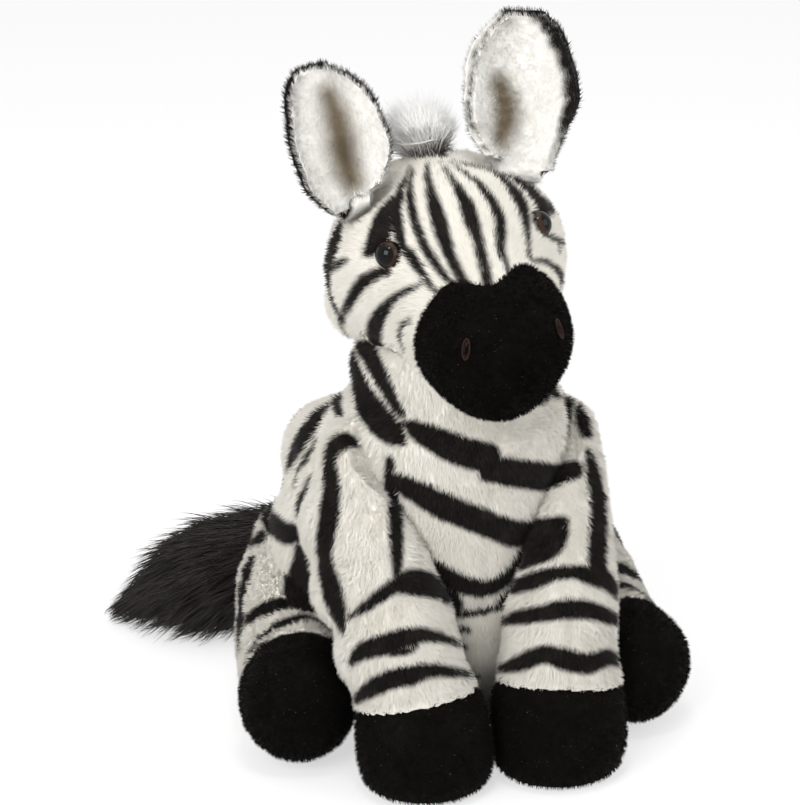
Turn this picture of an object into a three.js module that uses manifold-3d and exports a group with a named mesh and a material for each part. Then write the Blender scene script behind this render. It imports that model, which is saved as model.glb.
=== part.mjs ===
// A seated plush zebra: sewn plush covers over fibre filling, with the head, ears, legs and tail each free to
// move on its seam. Millimetres, +Z up. The origin is the middle of the flat seat, and the zebra faces -Y.
import * as THREE from "three";
import { mergeVertices } from "three/addons/utils/BufferGeometryUtils.js";
import Module from "manifold-3d";

const wasm = await Module();
wasm.setup();

// Fabric and clearances
const PLUSH = 4; // backing and pile of the striped plush
const VELOUR = 3; // the short black velour of hooves and muzzle
const GAP = 0.3; // between pieces that touch
const SWING_GAP = 0.6; // between pieces that swing past each other
const SWEEP_STEPS = 2; // how finely a swinging piece is cleared of its neighbour

// How finely the round pieces are drawn
const BODY_SIDES = 20;
const LEG_SIDES = 16;
const LINING_SIDES = 9; // inside the covers, where nothing shows
const BALL_SIDES = 24;

// Torso: height, centre y, half width, half depth, and how much the front narrows
const TORSO_RINGS = [
  [0, 8, 52, 48, 0.03],
  [2.5, 8, 68, 62, 0.05],
  [12, 8, 79, 71, 0.1],
  [28, 6, 85, 77, 0.16],
  [50, 2, 88, 80, 0.22],
  [78, -3, 88, 77, 0.28],
  [104, -10, 86, 74, 0.3],
  [128, -17, 80, 69, 0.26],
  [150, -24, 72.5, 64, 0.18],
  [170, -32, 64, 59, 0.08],
  [188, -38, 55, 54, 0],
  [204, -38, 38, 36, 0],
];
const SEAT_PANEL_HEIGHT = 6;
const COLLAR_FRONT = 176; // height of the cover's top edge at the chest
const COLLAR_BACK = 190; // and at the nape
const BEAN_BAG = { radius: 40, height: 30, vent: 20 };

// Neck: a stuffed ball that the torso and the head both seat on
const NECK = { y: -38, z: 204, radius: 50, opening: 28 };

// Head: distance along its axis, rise, half width, half height
const HEAD_CENTRE = new THREE.Vector3(0, -32, 251);
const HEAD_DROP = 14; // degrees that the muzzle points down
const HEAD_YAW = 6; // degrees that the head is turned to its left at rest
const HEAD_ROLL = -5; // degrees that it leans
const HEAD_RINGS = [
  [-52, 3, 15, 13],
  [-43, 3, 34, 29],
  [-29, 2, 49, 42],
  [-11, 0, 59.5, 49],
  [8, 0, 61, 50],
  [21, -1, 57, 48],
  [33, -2, 51, 44],
  [45, -3, 44, 39],
  [56, -4, 40, 37],
  [68, -4, 39, 37],
  [81, -4, 37, 36],
  [92, -4, 31, 30],
  [100, -4, 19, 18],
];
const MUZZLE_SEAM = 58; // where along the head's axis the black velour starts
const MOUTH_DROP = 21; // how far below the head's axis the chin piece is sewn on

// Eyes: safety eyes with a stem and a lock washer
const EYE = { across: 39, along: 27, rise: 26, radius: 6.5, proud: 3.2 };
const EYE_STEM = { radius: 2, length: 12 };
const EYE_WASHER = { radius: 7, thickness: 1.2 };
const EYE_SIDES = 12;
const NOSTRIL = { across: 24, along: 91, rise: 11, length: 11, width: 4, depth: 2 };

// Ears: a cupped leaf of plush with a white lining, sewn into the crown on a rolled root
const EAR = { length: 75, width: 58, cup: 12, thickness: 3, root: 5.5, rootLength: 26 };
const EAR_BORDER = 3; // how far the lining stays inside the ear's edge
const EAR_SEAT = { across: 39, along: -4, rise: 36 }; // where on the head the root lies
const EAR_LEAN_OUT = 12;
const EAR_LEAN_BACK = 20;
const EAR_TURN_OUT = 3;
const EAR_RANGE = [-20, 20];
const EAR_CELLS = { across: 6, along: 7 };

// Forelock: a round tuft on the crown
const FORELOCK = { y: -14, z: 303, radius: 17, height: 19, sides: 14 };

// Front legs, on the +X side: a curve from the shoulder to the hoof, and rings along it
// as share of its length, half width and half depth
const FRONT_LEG_PATH = [
  [54, -34, 180],
  [50, -48, 146],
  [43, -78, 92],
  [34.6, -102, 28],
  [34.2, -109, -7],
];
const FRONT_LEG_RINGS = [
  [0.02, 9, 12],
  [0.09, 19, 22],
  [0.22, 24, 27],
  [0.38, 27, 29],
  [0.52, 30, 31],
  [0.66, 30, 30],
  [0.78, 32, 32],
  [0.88, 33.5, 33],
  [0.94, 31, 30],
  [0.985, 23, 22],
];
const FRONT_HOOF_AT = 0.745; // share of the path where the hoof starts
const SHOULDER = new THREE.Vector3(50, -38, 152);
const FRONT_LEG_RANGE = [-30, 0];

// Hind legs, on the +X side: from the hip, forward and out along the floor
const HIND_LEG_PATH = [
  [58, 40, 46],
  [70, 6, 44],
  [82, -40, 36],
  [92.5, -86.5, 31.5],
];
const HIND_LEG_RINGS = [
  [0.03, 20, 24],
  [0.12, 31, 37],
  [0.26, 36, 43],
  [0.42, 35, 40],
  [0.56, 32, 35],
  [0.68, 30, 32],
  [0.8, 31, 32.5],
  [0.9, 28.5, 30],
  [0.96, 22, 24],
  [0.995, 13, 14],
];
const HIND_HOOF_AT = 0.67;
const HIP = new THREE.Vector3(60, 12, 42);
const HIND_LEG_LIFT = new THREE.Vector3(0.5, 0, 0.87); // the way that the hoof rises
const HIND_LEG_RANGE = [0, 25];

const SOLE_DEPTH = 5; // how far the sole panel wraps up the hoof
const LEG_MOUTH = 8; // radius of the opening that a leg is stuffed through

// Tail: a bushy pile on a tape, curled round to the right. The path goes on from the root on the torso's back.
const TAIL_HEIGHT = 46;
const TAIL_PATH = [
  [-42, 102, 38],
  [-95, 106, 32],
  [-150, 120, 12],
];
const TAIL_RINGS = [
  [0.02, 9, 9],
  [0.12, 19, 20],
  [0.28, 30, 31],
  [0.46, 36, 33],
  [0.62, 35, 32],
  [0.78, 27, 25],
  [0.92, 14, 12],
  [0.99, 4, 4],
];
const TAIL_RANGE = [-40, 0];
const TAPE = { radius: 4, end: 0.7, sides: 8 };

const X = new THREE.Vector3(1, 0, 0);
const Y = new THREE.Vector3(0, 1, 0);
const Z = new THREE.Vector3(0, 0, 1);
const FAR = 1500; // much longer than anything here
const radians = THREE.MathUtils.degToRad;
const moved = (point, direction, distance) => point.clone().addScaledVector(direction, distance);

// A solid from a closed geometry, and a geometry from a solid
function solidOf(geometry) {
  const bare = new THREE.BufferGeometry()
    .setAttribute("position", geometry.getAttribute("position"))
    .setIndex(geometry.index);
  const merged = mergeVertices(bare, 1e-4);
  return new wasm.Manifold(
    new wasm.Mesh({
      numProp: 3,
      vertProperties: merged.attributes.position.array,
      triVerts: new Uint32Array(merged.index.array),
    }),
  );
}

function geometryOf(solid) {
  const mesh = solid.getMesh();
  const positions = new Float32Array(mesh.numVert * 3);
  for (let i = 0; i < mesh.numVert; i++) {
    positions.set(mesh.vertProperties.subarray(i * mesh.numProp, i * mesh.numProp + 3), i * 3);
  }
  return new THREE.BufferGeometry()
    .setAttribute("position", new THREE.BufferAttribute(positions, 3))
    .setIndex(new THREE.BufferAttribute(mesh.triVerts, 1));
}

function flipped(geometry) {
  const index = geometry.index.array;
  for (let i = 0; i < index.length; i += 3) {
    [index[i + 1], index[i + 2]] = [index[i + 2], index[i + 1]];
  }
  return geometry;
}

// Only the largest body of a cut solid is kept, so that no sliver stays behind
function largest(solid) {
  return solid.decompose().sort((a, b) => b.volume() - a.volume())[0];
}

// A closed surface through rings, each with a place, a side and an up direction, and half sizes along them.
// An egg-shaped ring is narrower on one side than on the other.
function loft(rings, sides) {
  const positions = [];
  for (const { at, side, up, width, height, egg = 0 } of rings) {
    for (let i = 0; i < sides; i++) {
      const angle = (2 * Math.PI * i) / sides;
      const across = width * Math.cos(angle) * (1 + egg * Math.sin(angle));
      positions.push(...moved(moved(at, side, across), up, height * Math.sin(angle)).toArray());
    }
  }
  const ends = positions.length / 3;
  positions.push(...rings[0].at.toArray(), ...rings.at(-1).at.toArray());
  const index = [];
  const last = (rings.length - 1) * sides;
  for (let i = 0; i < sides; i++) {
    const next = (i + 1) % sides;
    for (let row = 0; row < last; row += sides) {
      index.push(row + i, row + next, row + next + sides, row + i, row + next + sides, row + i + sides);
    }
    index.push(ends, next, i, ends + 1, last + i, last + next);
  }
  const geometry = new THREE.BufferGeometry()
    .setAttribute("position", new THREE.Float32BufferAttribute(positions, 3))
    .setIndex(index);
  const solid = solidOf(geometry);
  return solid.volume() > 0 ? solid : solidOf(flipped(geometry));
}

// A ball, and the hollow that clears the same ball however either is turned. The hollow's flats lie over the
// ball's corners.
function ball(centre, radius, sides = BALL_SIDES, spin = 0) {
  return solidOf(
    new THREE.SphereGeometry(radius, sides, Math.round(sides / 2))
      .rotateX(Math.PI / 2)
      .rotateZ(spin)
      .translate(...centre.toArray()),
  );
}

function socket(centre, radius) {
  const halfSide = Math.PI / BALL_SIDES;
  return ball(centre, radius / Math.cos(halfSide) ** 2, BALL_SIDES, halfSide);
}

function rod(from, to, radius, sides = EYE_SIDES) {
  const along = new THREE.Vector3().subVectors(to, from);
  const turn = new THREE.Quaternion().setFromUnitVectors(Y, along.clone().normalize());
  const middle = new THREE.Vector3().addVectors(from, to).multiplyScalar(0.5);
  return solidOf(
    new THREE.CylinderGeometry(radius, radius, along.length(), sides)
      .applyQuaternion(turn)
      .translate(...middle.toArray()),
  );
}

// Everything past a plane, as a block to cut with
function beyond(point, direction) {
  const normal = direction.clone().normalize();
  const turn = new THREE.Quaternion().setFromUnitVectors(Z, normal);
  return solidOf(
    new THREE.BoxGeometry(FAR, FAR, FAR)
      .applyQuaternion(turn)
      .translate(...moved(point, normal, FAR / 2).toArray()),
  );
}

// The two sides of a seam, half a gap away from it
function splitAt(solid, point, direction) {
  const normal = direction.clone().normalize();
  return {
    before: largest(solid.subtract(beyond(moved(point, normal, -GAP / 2), normal))),
    after: largest(solid.subtract(beyond(moved(point, normal, GAP / 2), normal.clone().negate()))),
  };
}

function turned(solid, pivot, axis, angle) {
  const matrix = new THREE.Matrix4()
    .makeTranslation(pivot)
    .multiply(new THREE.Matrix4().makeRotationAxis(axis, radians(angle)))
    .multiply(new THREE.Matrix4().makeTranslation(pivot.clone().negate()));
  return solidOf(geometryOf(solid).applyMatrix4(matrix));
}

function mirrored(solid) {
  return solidOf(flipped(geometryOf(solid).scale(-1, 1, 1)));
}

// All that a neighbour sweeps, seen from the piece that swings past it
function swept(neighbour, pivot, axis, [from, to]) {
  let all = neighbour;
  for (let i = 0; i <= SWEEP_STEPS; i++) {
    all = all.add(turned(neighbour, pivot, axis, -(from + ((to - from) * i) / SWEEP_STEPS)));
  }
  return all;
}

// A plain shape that wholly holds a lofted one, with room to swing past
const roomy = (sides) => ({ sides, inset: -SWING_GAP, stretch: 1 / Math.cos(Math.PI / sides) });

// Torso
function torsoForm({ inset = 0, sides = BODY_SIDES, stretch = 1 } = {}) {
  const rings = TORSO_RINGS.map(([z, y, width, depth, egg]) => ({
    at: new THREE.Vector3(0, y, z),
    side: X,
    up: Y,
    width: (width - inset) * stretch,
    height: (depth - inset) * stretch,
    egg,
  }));
  rings[0].at.z += inset;
  rings.at(-1).at.z -= inset;
  return loft(rings.filter(({ at }, i) => i === 0 || at.z > rings[0].at.z), sides);
}

// The torso's back on the midline, at a height
function torsoBackAt(height) {
  const upper = TORSO_RINGS.findIndex(([z]) => z >= height);
  const [[z0, y0, , depth0], [z1, y1, , depth1]] = TORSO_RINGS.slice(upper - 1, upper + 1);
  return THREE.MathUtils.mapLinear(height, z0, z1, y0 + depth0, y1 + depth1);
}

const neckCentre = new THREE.Vector3(0, NECK.y, NECK.z);
const collarSpread = 2 * NECK.radius;
const collarUp = new THREE.Vector3(0, COLLAR_FRONT - COLLAR_BACK, collarSpread).normalize();
const collarMiddle = new THREE.Vector3(0, NECK.y, (COLLAR_FRONT + COLLAR_BACK) / 2);

// The bag of beads is a disc with a round edge
function beanBag(grow) {
  const edge = BEAN_BAG.height / 2 + grow;
  const flat = BEAN_BAG.radius - BEAN_BAG.height / 2;
  const profile = [new THREE.Vector2(0, -edge)];
  for (let i = 0; i <= 5; i++) {
    const angle = -Math.PI / 2 + (Math.PI * i) / 5;
    profile.push(new THREE.Vector2(flat + edge * Math.cos(angle), edge * Math.sin(angle)));
  }
  profile.push(new THREE.Vector2(0, edge));
  const middle = PLUSH + 2 * GAP + BEAN_BAG.height / 2;
  return solidOf(
    new THREE.LatheGeometry(profile, LINING_SIDES)
      .rotateX(Math.PI / 2)
      .translate(0, 0, middle),
  );
}

function torsoPieces() {
  const seat = socket(neckCentre, NECK.radius + GAP);
  const aboveCollar = beyond(collarMiddle, collarUp);
  const shell = torsoForm()
    .subtract(torsoForm({ inset: PLUSH, sides: LINING_SIDES }))
    .subtract(aboveCollar)
    .subtract(seat);
  const panelSeam = splitAt(shell, new THREE.Vector3(0, 0, SEAT_PANEL_HEIGHT), Z);
  const backSeam = splitAt(panelSeam.after, new THREE.Vector3(), X);
  // The bag goes in from below, so its nest is open to the seat panel
  const bagTop = new THREE.Vector3(0, 0, PLUSH + BEAN_BAG.height / 2);
  const nest = beanBag(GAP).add(rod(new THREE.Vector3(), bagTop, BEAN_BAG.vent));
  const filling = torsoForm({ inset: PLUSH + GAP, sides: LINING_SIDES })
    .subtract(aboveCollar)
    .subtract(seat)
    .subtract(nest);
  return {
    left: backSeam.after,
    right: backSeam.before,
    seatPanel: panelSeam.before,
    filling: largest(filling),
    bag: beanBag(0),
  };
}

// Neck
function neckPieces() {
  const reach = 2 * NECK.radius;
  const openings = rod(moved(neckCentre, Z, -reach), moved(neckCentre, Z, reach), NECK.opening);
  return {
    cover: ball(neckCentre, NECK.radius)
      .subtract(ball(neckCentre, NECK.radius - PLUSH, LINING_SIDES))
      .subtract(openings),
    filling: ball(neckCentre, NECK.radius - PLUSH - GAP, LINING_SIDES),
  };
}

// Head, straight ahead here: the group that holds it turns it afterwards
const headAxis = new THREE.Vector3(0, -Math.cos(radians(HEAD_DROP)), -Math.sin(radians(HEAD_DROP)));
const headUp = new THREE.Vector3().crossVectors(headAxis, X);

function onHead(across, along, rise) {
  return moved(moved(moved(HEAD_CENTRE, X, across), headAxis, along), headUp, rise);
}

function headForm({ inset = 0, sides = BODY_SIDES, stretch = 1 } = {}) {
  const rings = HEAD_RINGS.map(([along, rise, width, height]) => ({
    at: onHead(0, along, rise),
    side: X,
    up: headUp,
    width: (width - inset) * stretch,
    height: (height - inset) * stretch,
  }));
  rings[0].at.addScaledVector(headAxis, inset);
  rings.at(-1).at.addScaledVector(headAxis, -inset);
  return loft(rings, sides);
}

// Where a line from the head's middle, through a place, leaves the head
const headSkin = new THREE.Mesh(
  geometryOf(headForm()),
  new THREE.MeshBasicMaterial({ side: THREE.DoubleSide }),
);

function headSurface(place) {
  const outward = place.clone().sub(HEAD_CENTRE).normalize();
  const { point } = new THREE.Raycaster(HEAD_CENTRE, outward).intersectObject(headSkin)[0];
  return { point, outward };
}

function eyePieces(side) {
  const { point, outward } = headSurface(onHead(side * EYE.across, EYE.along, EYE.rise));
  const centre = moved(point, outward, EYE.proud - EYE.radius);
  const stemEnd = moved(centre, outward, -EYE_STEM.length);
  const outside = moved(point, outward, 2 * EYE.radius);
  const washerTop = moved(point, outward, -PLUSH - 2 * GAP);
  const washerBase = moved(washerTop, outward, -EYE_WASHER.thickness);
  const stemHole = rod(moved(stemEnd, outward, -GAP), outside, EYE_STEM.radius + GAP);
  return {
    cap: ball(centre, EYE.radius, EYE_SIDES)
      .subtract(beyond(centre, outward.clone().negate()))
      .add(rod(stemEnd, moved(centre, outward, 1), EYE_STEM.radius)),
    washer: rod(washerBase, washerTop, EYE_WASHER.radius).subtract(stemHole),
    // The cap's room in the cover, and the washer's below it
    pocket: rod(moved(centre, outward, -GAP), outside, EYE.radius + GAP, BALL_SIDES).add(stemHole),
    washerRoom: rod(
      moved(washerBase, outward, -GAP),
      moved(washerTop, outward, GAP),
      EYE_WASHER.radius + GAP,
    ).add(stemHole),
  };
}

// A nostril is an upright almond of satin let into the muzzle
function nostril(side, grow) {
  const { point, outward } = headSurface(onHead(side * NOSTRIL.across, NOSTRIL.along, NOSTRIL.rise));
  const across = new THREE.Vector3().crossVectors(headUp, outward).normalize();
  const upright = new THREE.Vector3().crossVectors(outward, across);
  return solidOf(
    new THREE.SphereGeometry(1, 10, 6)
      .scale(NOSTRIL.width / 2 + grow, NOSTRIL.length / 2 + grow, NOSTRIL.depth / 2 + grow)
      .applyMatrix4(new THREE.Matrix4().makeBasis(across, upright, outward).setPosition(point)),
  );
}

function headPieces() {
  const seat = socket(neckCentre, NECK.radius + GAP);
  const eyes = { left: eyePieces(1), right: eyePieces(-1) };
  let shell = headForm().subtract(headForm({ inset: PLUSH, sides: LINING_SIDES })).subtract(seat);
  let filling = headForm({ inset: PLUSH + GAP, sides: LINING_SIDES }).subtract(seat);
  for (const { pocket, washerRoom } of Object.values(eyes)) {
    shell = shell.subtract(pocket).subtract(washerRoom);
    filling = filling.subtract(pocket).subtract(washerRoom);
  }
  for (const side of [1, -1]) {
    const rootRoom = earRoot(earFrame(side), GAP);
    shell = shell.subtract(nostril(side, GAP)).subtract(rootRoom);
    filling = filling.subtract(rootRoom);
  }
  const muzzleSeam = splitAt(shell, onHead(0, MUZZLE_SEAM, 0), headAxis);
  const crownSeam = splitAt(muzzleSeam.before, new THREE.Vector3(), X);
  const mouthSeam = splitAt(muzzleSeam.after, onHead(0, 0, -MOUTH_DROP), headUp);
  return {
    left: crownSeam.after,
    right: crownSeam.before,
    muzzle: mouthSeam.after,
    chin: mouthSeam.before,
    filling: largest(filling),
    eyes,
    nostrils: { left: nostril(1, 0), right: nostril(-1, 0) },
  };
}

// An ear's frame: x runs across it, y to its back and z up it, from the middle of its root
function earFrame(side) {
  const { point } = headSurface(onHead(side * EAR_SEAT.across, EAR_SEAT.along, EAR_SEAT.rise));
  const up = new THREE.Vector3(side * Math.tan(radians(EAR_LEAN_OUT)), Math.tan(radians(EAR_LEAN_BACK)), 1);
  const back = new THREE.Vector3(-side * Math.sin(radians(EAR_TURN_OUT)), Math.cos(radians(EAR_TURN_OUT)), 0);
  up.normalize();
  const across = new THREE.Vector3().crossVectors(back, up).normalize();
  back.crossVectors(up, across);
  return { origin: point, across, matrix: new THREE.Matrix4().makeBasis(across, back, up).setPosition(point) };
}

function earRoot({ origin, across }, grow) {
  const half = EAR.rootLength / 2 + grow;
  return rod(moved(origin, across, -half), moved(origin, across, half), EAR.root + grow);
}

// A leaf between two depths, cupped so that its edges come forward
function earLeaf(frontDepth, backDepth, border) {
  const { across, along } = EAR_CELLS;
  const row = across + 1;
  const layer = row * (along + 1);
  const positions = [];
  for (const depth of [frontDepth, backDepth]) {
    for (let j = 0; j <= along; j++) {
      const share = Math.sin((Math.PI / 2) * (j / along));
      const swell = Math.sin(Math.PI * (0.16 + 0.81 * share)) ** 0.62;
      for (let i = 0; i <= across; i++) {
        const u = (2 * i) / across - 1;
        const cup = -EAR.cup * u * u * (1 - 0.5 * share);
        positions.push(u * (EAR.width / 2 - border) * swell, cup + depth, share * (EAR.length - border));
      }
    }
  }
  const index = [];
  const quad = (a, b, c, d) => index.push(a, b, c, a, c, d);
  for (let j = 0; j < along; j++) {
    const start = j * row;
    for (let i = start; i < start + across; i++) {
      quad(i, i + 1, i + 1 + row, i + row);
      quad(i + layer, i + row + layer, i + 1 + row + layer, i + 1 + layer);
    }
    const end = start + across;
    quad(start, start + row, start + row + layer, start + layer);
    quad(end, end + layer, end + row + layer, end + row);
  }
  for (let i = 0; i < across; i++) {
    const top = along * row + i;
    quad(i, i + layer, i + 1 + layer, i + 1);
    quad(top, top + 1, top + 1 + layer, top + layer);
  }
  return new THREE.BufferGeometry()
    .setAttribute("position", new THREE.Float32BufferAttribute(positions, 3))
    .setIndex(index);
}

function earPieces(side) {
  const frame = earFrame(side);
  const head = swept(headForm(roomy(LEG_SIDES)), frame.origin, frame.across, EAR_RANGE);
  const leaf = (frontDepth, backDepth, border) =>
    solidOf(earLeaf(frontDepth, backDepth, border).applyMatrix4(frame.matrix)).subtract(head);
  return {
    frame,
    back: largest(leaf(GAP / 2, EAR.thickness + GAP / 2, 0).add(earRoot(frame, 0))),
    lining: largest(
      leaf(-EAR.thickness - GAP / 2, -GAP / 2, EAR_BORDER).subtract(earRoot(frame, GAP)),
    ),
  };
}

function forelock() {
  return largest(
    solidOf(
      new THREE.SphereGeometry(1, FORELOCK.sides, FORELOCK.sides / 2)
        .rotateX(Math.PI / 2)
        .scale(FORELOCK.radius, FORELOCK.radius, FORELOCK.height)
        .translate(0, FORELOCK.y, FORELOCK.z),
    ).subtract(headForm({ inset: -GAP })),
  );
}

// A stuffed limb along a curve
class Limb {
  constructor(path, rings, sideways) {
    this.curve = new THREE.CatmullRomCurve3(path.map((point) => new THREE.Vector3(...point)));
    this.rings = rings;
    this.sideways = sideways;
  }

  frameAt(share) {
    const along = this.curve.getTangentAt(share);
    const side = this.sideways(along);
    const up = new THREE.Vector3().crossVectors(side, along).normalize();
    return { at: this.curve.getPointAt(share), along, side, up };
  }

  form({ inset = 0, sides = LEG_SIDES } = {}) {
    const rings = this.rings.map(([share, width, height]) => ({
      ...this.frameAt(share),
      width: Math.max(width - inset, 1),
      height: Math.max(height - inset, 1),
    }));
    rings[0].at.addScaledVector(rings[0].along, inset);
    rings.at(-1).at.addScaledVector(rings.at(-1).along, -inset);
    return loft(rings, sides);
  }
}

const levelAcross = (along) => new THREE.Vector3().crossVectors(along, Z).normalize();
const below = (height) => beyond(new THREE.Vector3(0, 0, height), Z.clone().negate());

function legPieces(leg, hoofAt, pivot, axis, range, solePlane) {
  const torso = swept(torsoForm(roomy(LEG_SIDES)), pivot, axis, range);
  const start = leg.frameAt(0);
  const mouth = rod(moved(start.at, start.along, -LEG_MOUTH), leg.frameAt(0.2).at, LEG_MOUTH);
  const shell = leg
    .form()
    .subtract(below(0))
    .subtract(torso)
    .subtract(leg.form({ inset: PLUSH, sides: LINING_SIDES }).subtract(below(VELOUR)))
    .subtract(mouth);
  const filling = leg
    .form({ inset: PLUSH + GAP, sides: LINING_SIDES })
    .subtract(below(VELOUR + GAP))
    .subtract(torso);
  const hoof = leg.frameAt(hoofAt);
  const ankleSeam = splitAt(shell, hoof.at, hoof.along);
  const soleSeam = splitAt(ankleSeam.after, solePlane.point, solePlane.normal);
  return {
    cover: ankleSeam.before,
    filling: largest(filling),
    wall: soleSeam.before,
    sole: soleSeam.after,
  };
}

function frontLeg() {
  const leg = new Limb(FRONT_LEG_PATH, FRONT_LEG_RINGS, () => X);
  const sole = { point: new THREE.Vector3(0, 0, SOLE_DEPTH), normal: Z.clone().negate() };
  return legPieces(leg, FRONT_HOOF_AT, SHOULDER, X, FRONT_LEG_RANGE, sole);
}

function hindLeg() {
  const leg = new Limb(HIND_LEG_PATH, HIND_LEG_RINGS, levelAcross);
  const end = leg.frameAt(1);
  const sole = { point: moved(end.at, end.along, -SOLE_DEPTH), normal: end.along };
  const ahead = end.at.clone().sub(HIP).setZ(0).normalize();
  const axis = new THREE.Vector3().crossVectors(ahead, HIND_LEG_LIFT).normalize();
  return legPieces(leg, HIND_HOOF_AT, HIP, axis, HIND_LEG_RANGE, sole);
}

// The tail swings on a knot in the end of its tape, which is sewn to the torso's back
function tailPieces() {
  const root = new THREE.Vector3(0, torsoBackAt(TAIL_HEIGHT) + TAPE.radius + GAP, TAIL_HEIGHT);
  const tail = new Limb([root.toArray(), ...TAIL_PATH], TAIL_RINGS, levelAcross);
  const torso = swept(torsoForm(roomy(LEG_SIDES)), root, Z, TAIL_RANGE);
  const tape = (radius) => {
    const shares = [0, 0.25, 0.5, 0.75, 1].map((share) => share * TAPE.end);
    const rings = shares.map((share) => ({ ...tail.frameAt(share), width: radius, height: radius }));
    return loft(rings, TAPE.sides).subtract(torso).add(ball(root, radius, TAPE.sides));
  };
  return {
    pile: largest(tail.form().subtract(below(0)).subtract(torso).subtract(tape(TAPE.radius + GAP))),
    tape: largest(tape(TAPE.radius)),
  };
}

// Materials
const cloth = (name, color, roughness) =>
  new THREE.MeshStandardMaterial({ name, color, roughness, metalness: 0 });
const STRIPED_PLUSH = cloth("striped_plush", 0xdedad0, 0.9);
const WHITE_PLUSH = cloth("white_plush", 0xf0ede4, 0.9);
const BLACK_VELOUR = cloth("black_velour", 0x0b0a09, 0.95);
const BLACK_PILE = cloth("black_pile", 0x141110, 0.8);
const WHITE_PILE = cloth("white_pile", 0xe4e0d8, 0.85);
const FIBRE = cloth("fibre_filling", 0xf4f4f0, 1);
const BEADS = cloth("bead_bag", 0xe6e0d2, 0.9);
const SATIN = cloth("nostril_satin", 0x3a1a12, 0.5);
const EYE_PLASTIC = cloth("eye_plastic", 0x1a0d06, 0.08);
const WASHER_PLASTIC = cloth("washer_plastic", 0xeeeeee, 0.4);

function piece(name, solid, material) {
  const mesh = new THREE.Mesh(geometryOf(solid), material);
  mesh.name = name;
  return mesh;
}

// Assembly
const zebra = new THREE.Group();

const torso = torsoPieces();
const neck = neckPieces();
zebra.add(
  piece("torso_cover_left", torso.left, STRIPED_PLUSH),
  piece("torso_cover_right", torso.right, STRIPED_PLUSH),
  piece("seat_panel", torso.seatPanel, WHITE_PLUSH),
  piece("torso_filling", torso.filling, FIBRE),
  piece("seat_bean_bag", torso.bag, BEADS),
  piece("neck_cover", neck.cover, STRIPED_PLUSH),
  piece("neck_filling", neck.filling, FIBRE),
);

// The head, and all that is on it, turns about the middle of the neck
const turnedHead = new THREE.Group();
turnedHead.position.copy(neckCentre);
turnedHead.rotation.set(0, radians(HEAD_ROLL), radians(HEAD_YAW), "ZYX");
const headHolder = new THREE.Group();
headHolder.position.copy(neckCentre).negate();
turnedHead.add(headHolder);
zebra.add(turnedHead);

const head = headPieces();
headHolder.add(
  piece("head_cover_left", head.left, STRIPED_PLUSH),
  piece("head_cover_right", head.right, STRIPED_PLUSH),
  piece("muzzle_cover", head.muzzle, BLACK_VELOUR),
  piece("chin_cover", head.chin, BLACK_VELOUR),
  piece("head_filling", head.filling, FIBRE),
  piece("forelock", forelock(), WHITE_PILE),
);
for (const [name, side] of [
  ["left", 1],
  ["right", -1],
]) {
  headHolder.add(
    piece(`eye_${name}`, head.eyes[name].cap, EYE_PLASTIC),
    piece(`eye_washer_${name}`, head.eyes[name].washer, WASHER_PLASTIC),
    piece(`nostril_${name}`, head.nostrils[name], SATIN),
  );
  // Each ear's group stands at its root, with the root along its x
  const { frame, back, lining } = earPieces(side);
  const ear = new THREE.Group();
  ear.name = `ear_${name}`;
  ear.applyMatrix4(frame.matrix);
  for (const mesh of [
    piece(`ear_back_${name}`, back, STRIPED_PLUSH),
    piece(`ear_lining_${name}`, lining, WHITE_PLUSH),
  ]) {
    mesh.geometry.applyMatrix4(frame.matrix.clone().invert());
    ear.add(mesh);
  }
  headHolder.add(ear);
}

const legs = { front: frontLeg(), hind: hindLeg() };
for (const [name, placed] of [
  ["left", (solid) => solid],
  ["right", mirrored],
]) {
  for (const [pair, leg] of Object.entries(legs)) {
    zebra.add(
      piece(`${pair}_leg_cover_${name}`, placed(leg.cover), STRIPED_PLUSH),
      piece(`${pair}_leg_filling_${name}`, placed(leg.filling), FIBRE),
      piece(`${pair}_hoof_wall_${name}`, placed(leg.wall), BLACK_VELOUR),
      piece(`${pair}_hoof_sole_${name}`, placed(leg.sole), BLACK_VELOUR),
    );
  }
}

const tail = tailPieces();
zebra.add(piece("tail_pile", tail.pile, BLACK_PILE), piece("tail_tape", tail.tape, FIBRE));

export default zebra;
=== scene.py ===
# %% [markdown]
# # A sitting plush zebra
#
# The toy is sewn from striped short-pile plush, with black velour on the muzzle and hooves, a long-haired
# tail and a tuft between the ears. Three things make it read as plush: forms that are puffed by their
# stuffing, stripes that run over the seams, and real fibres that stand off the cloth.
#
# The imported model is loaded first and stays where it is. All lengths are metres, so `MM` turns a size in
# millimetres into one, and the box of the model is written down before anything is added to it.

# %% Load the frame
import math

import bpy
import numpy as np
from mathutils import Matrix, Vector
from mathutils.bvhtree import BVHTree


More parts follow.
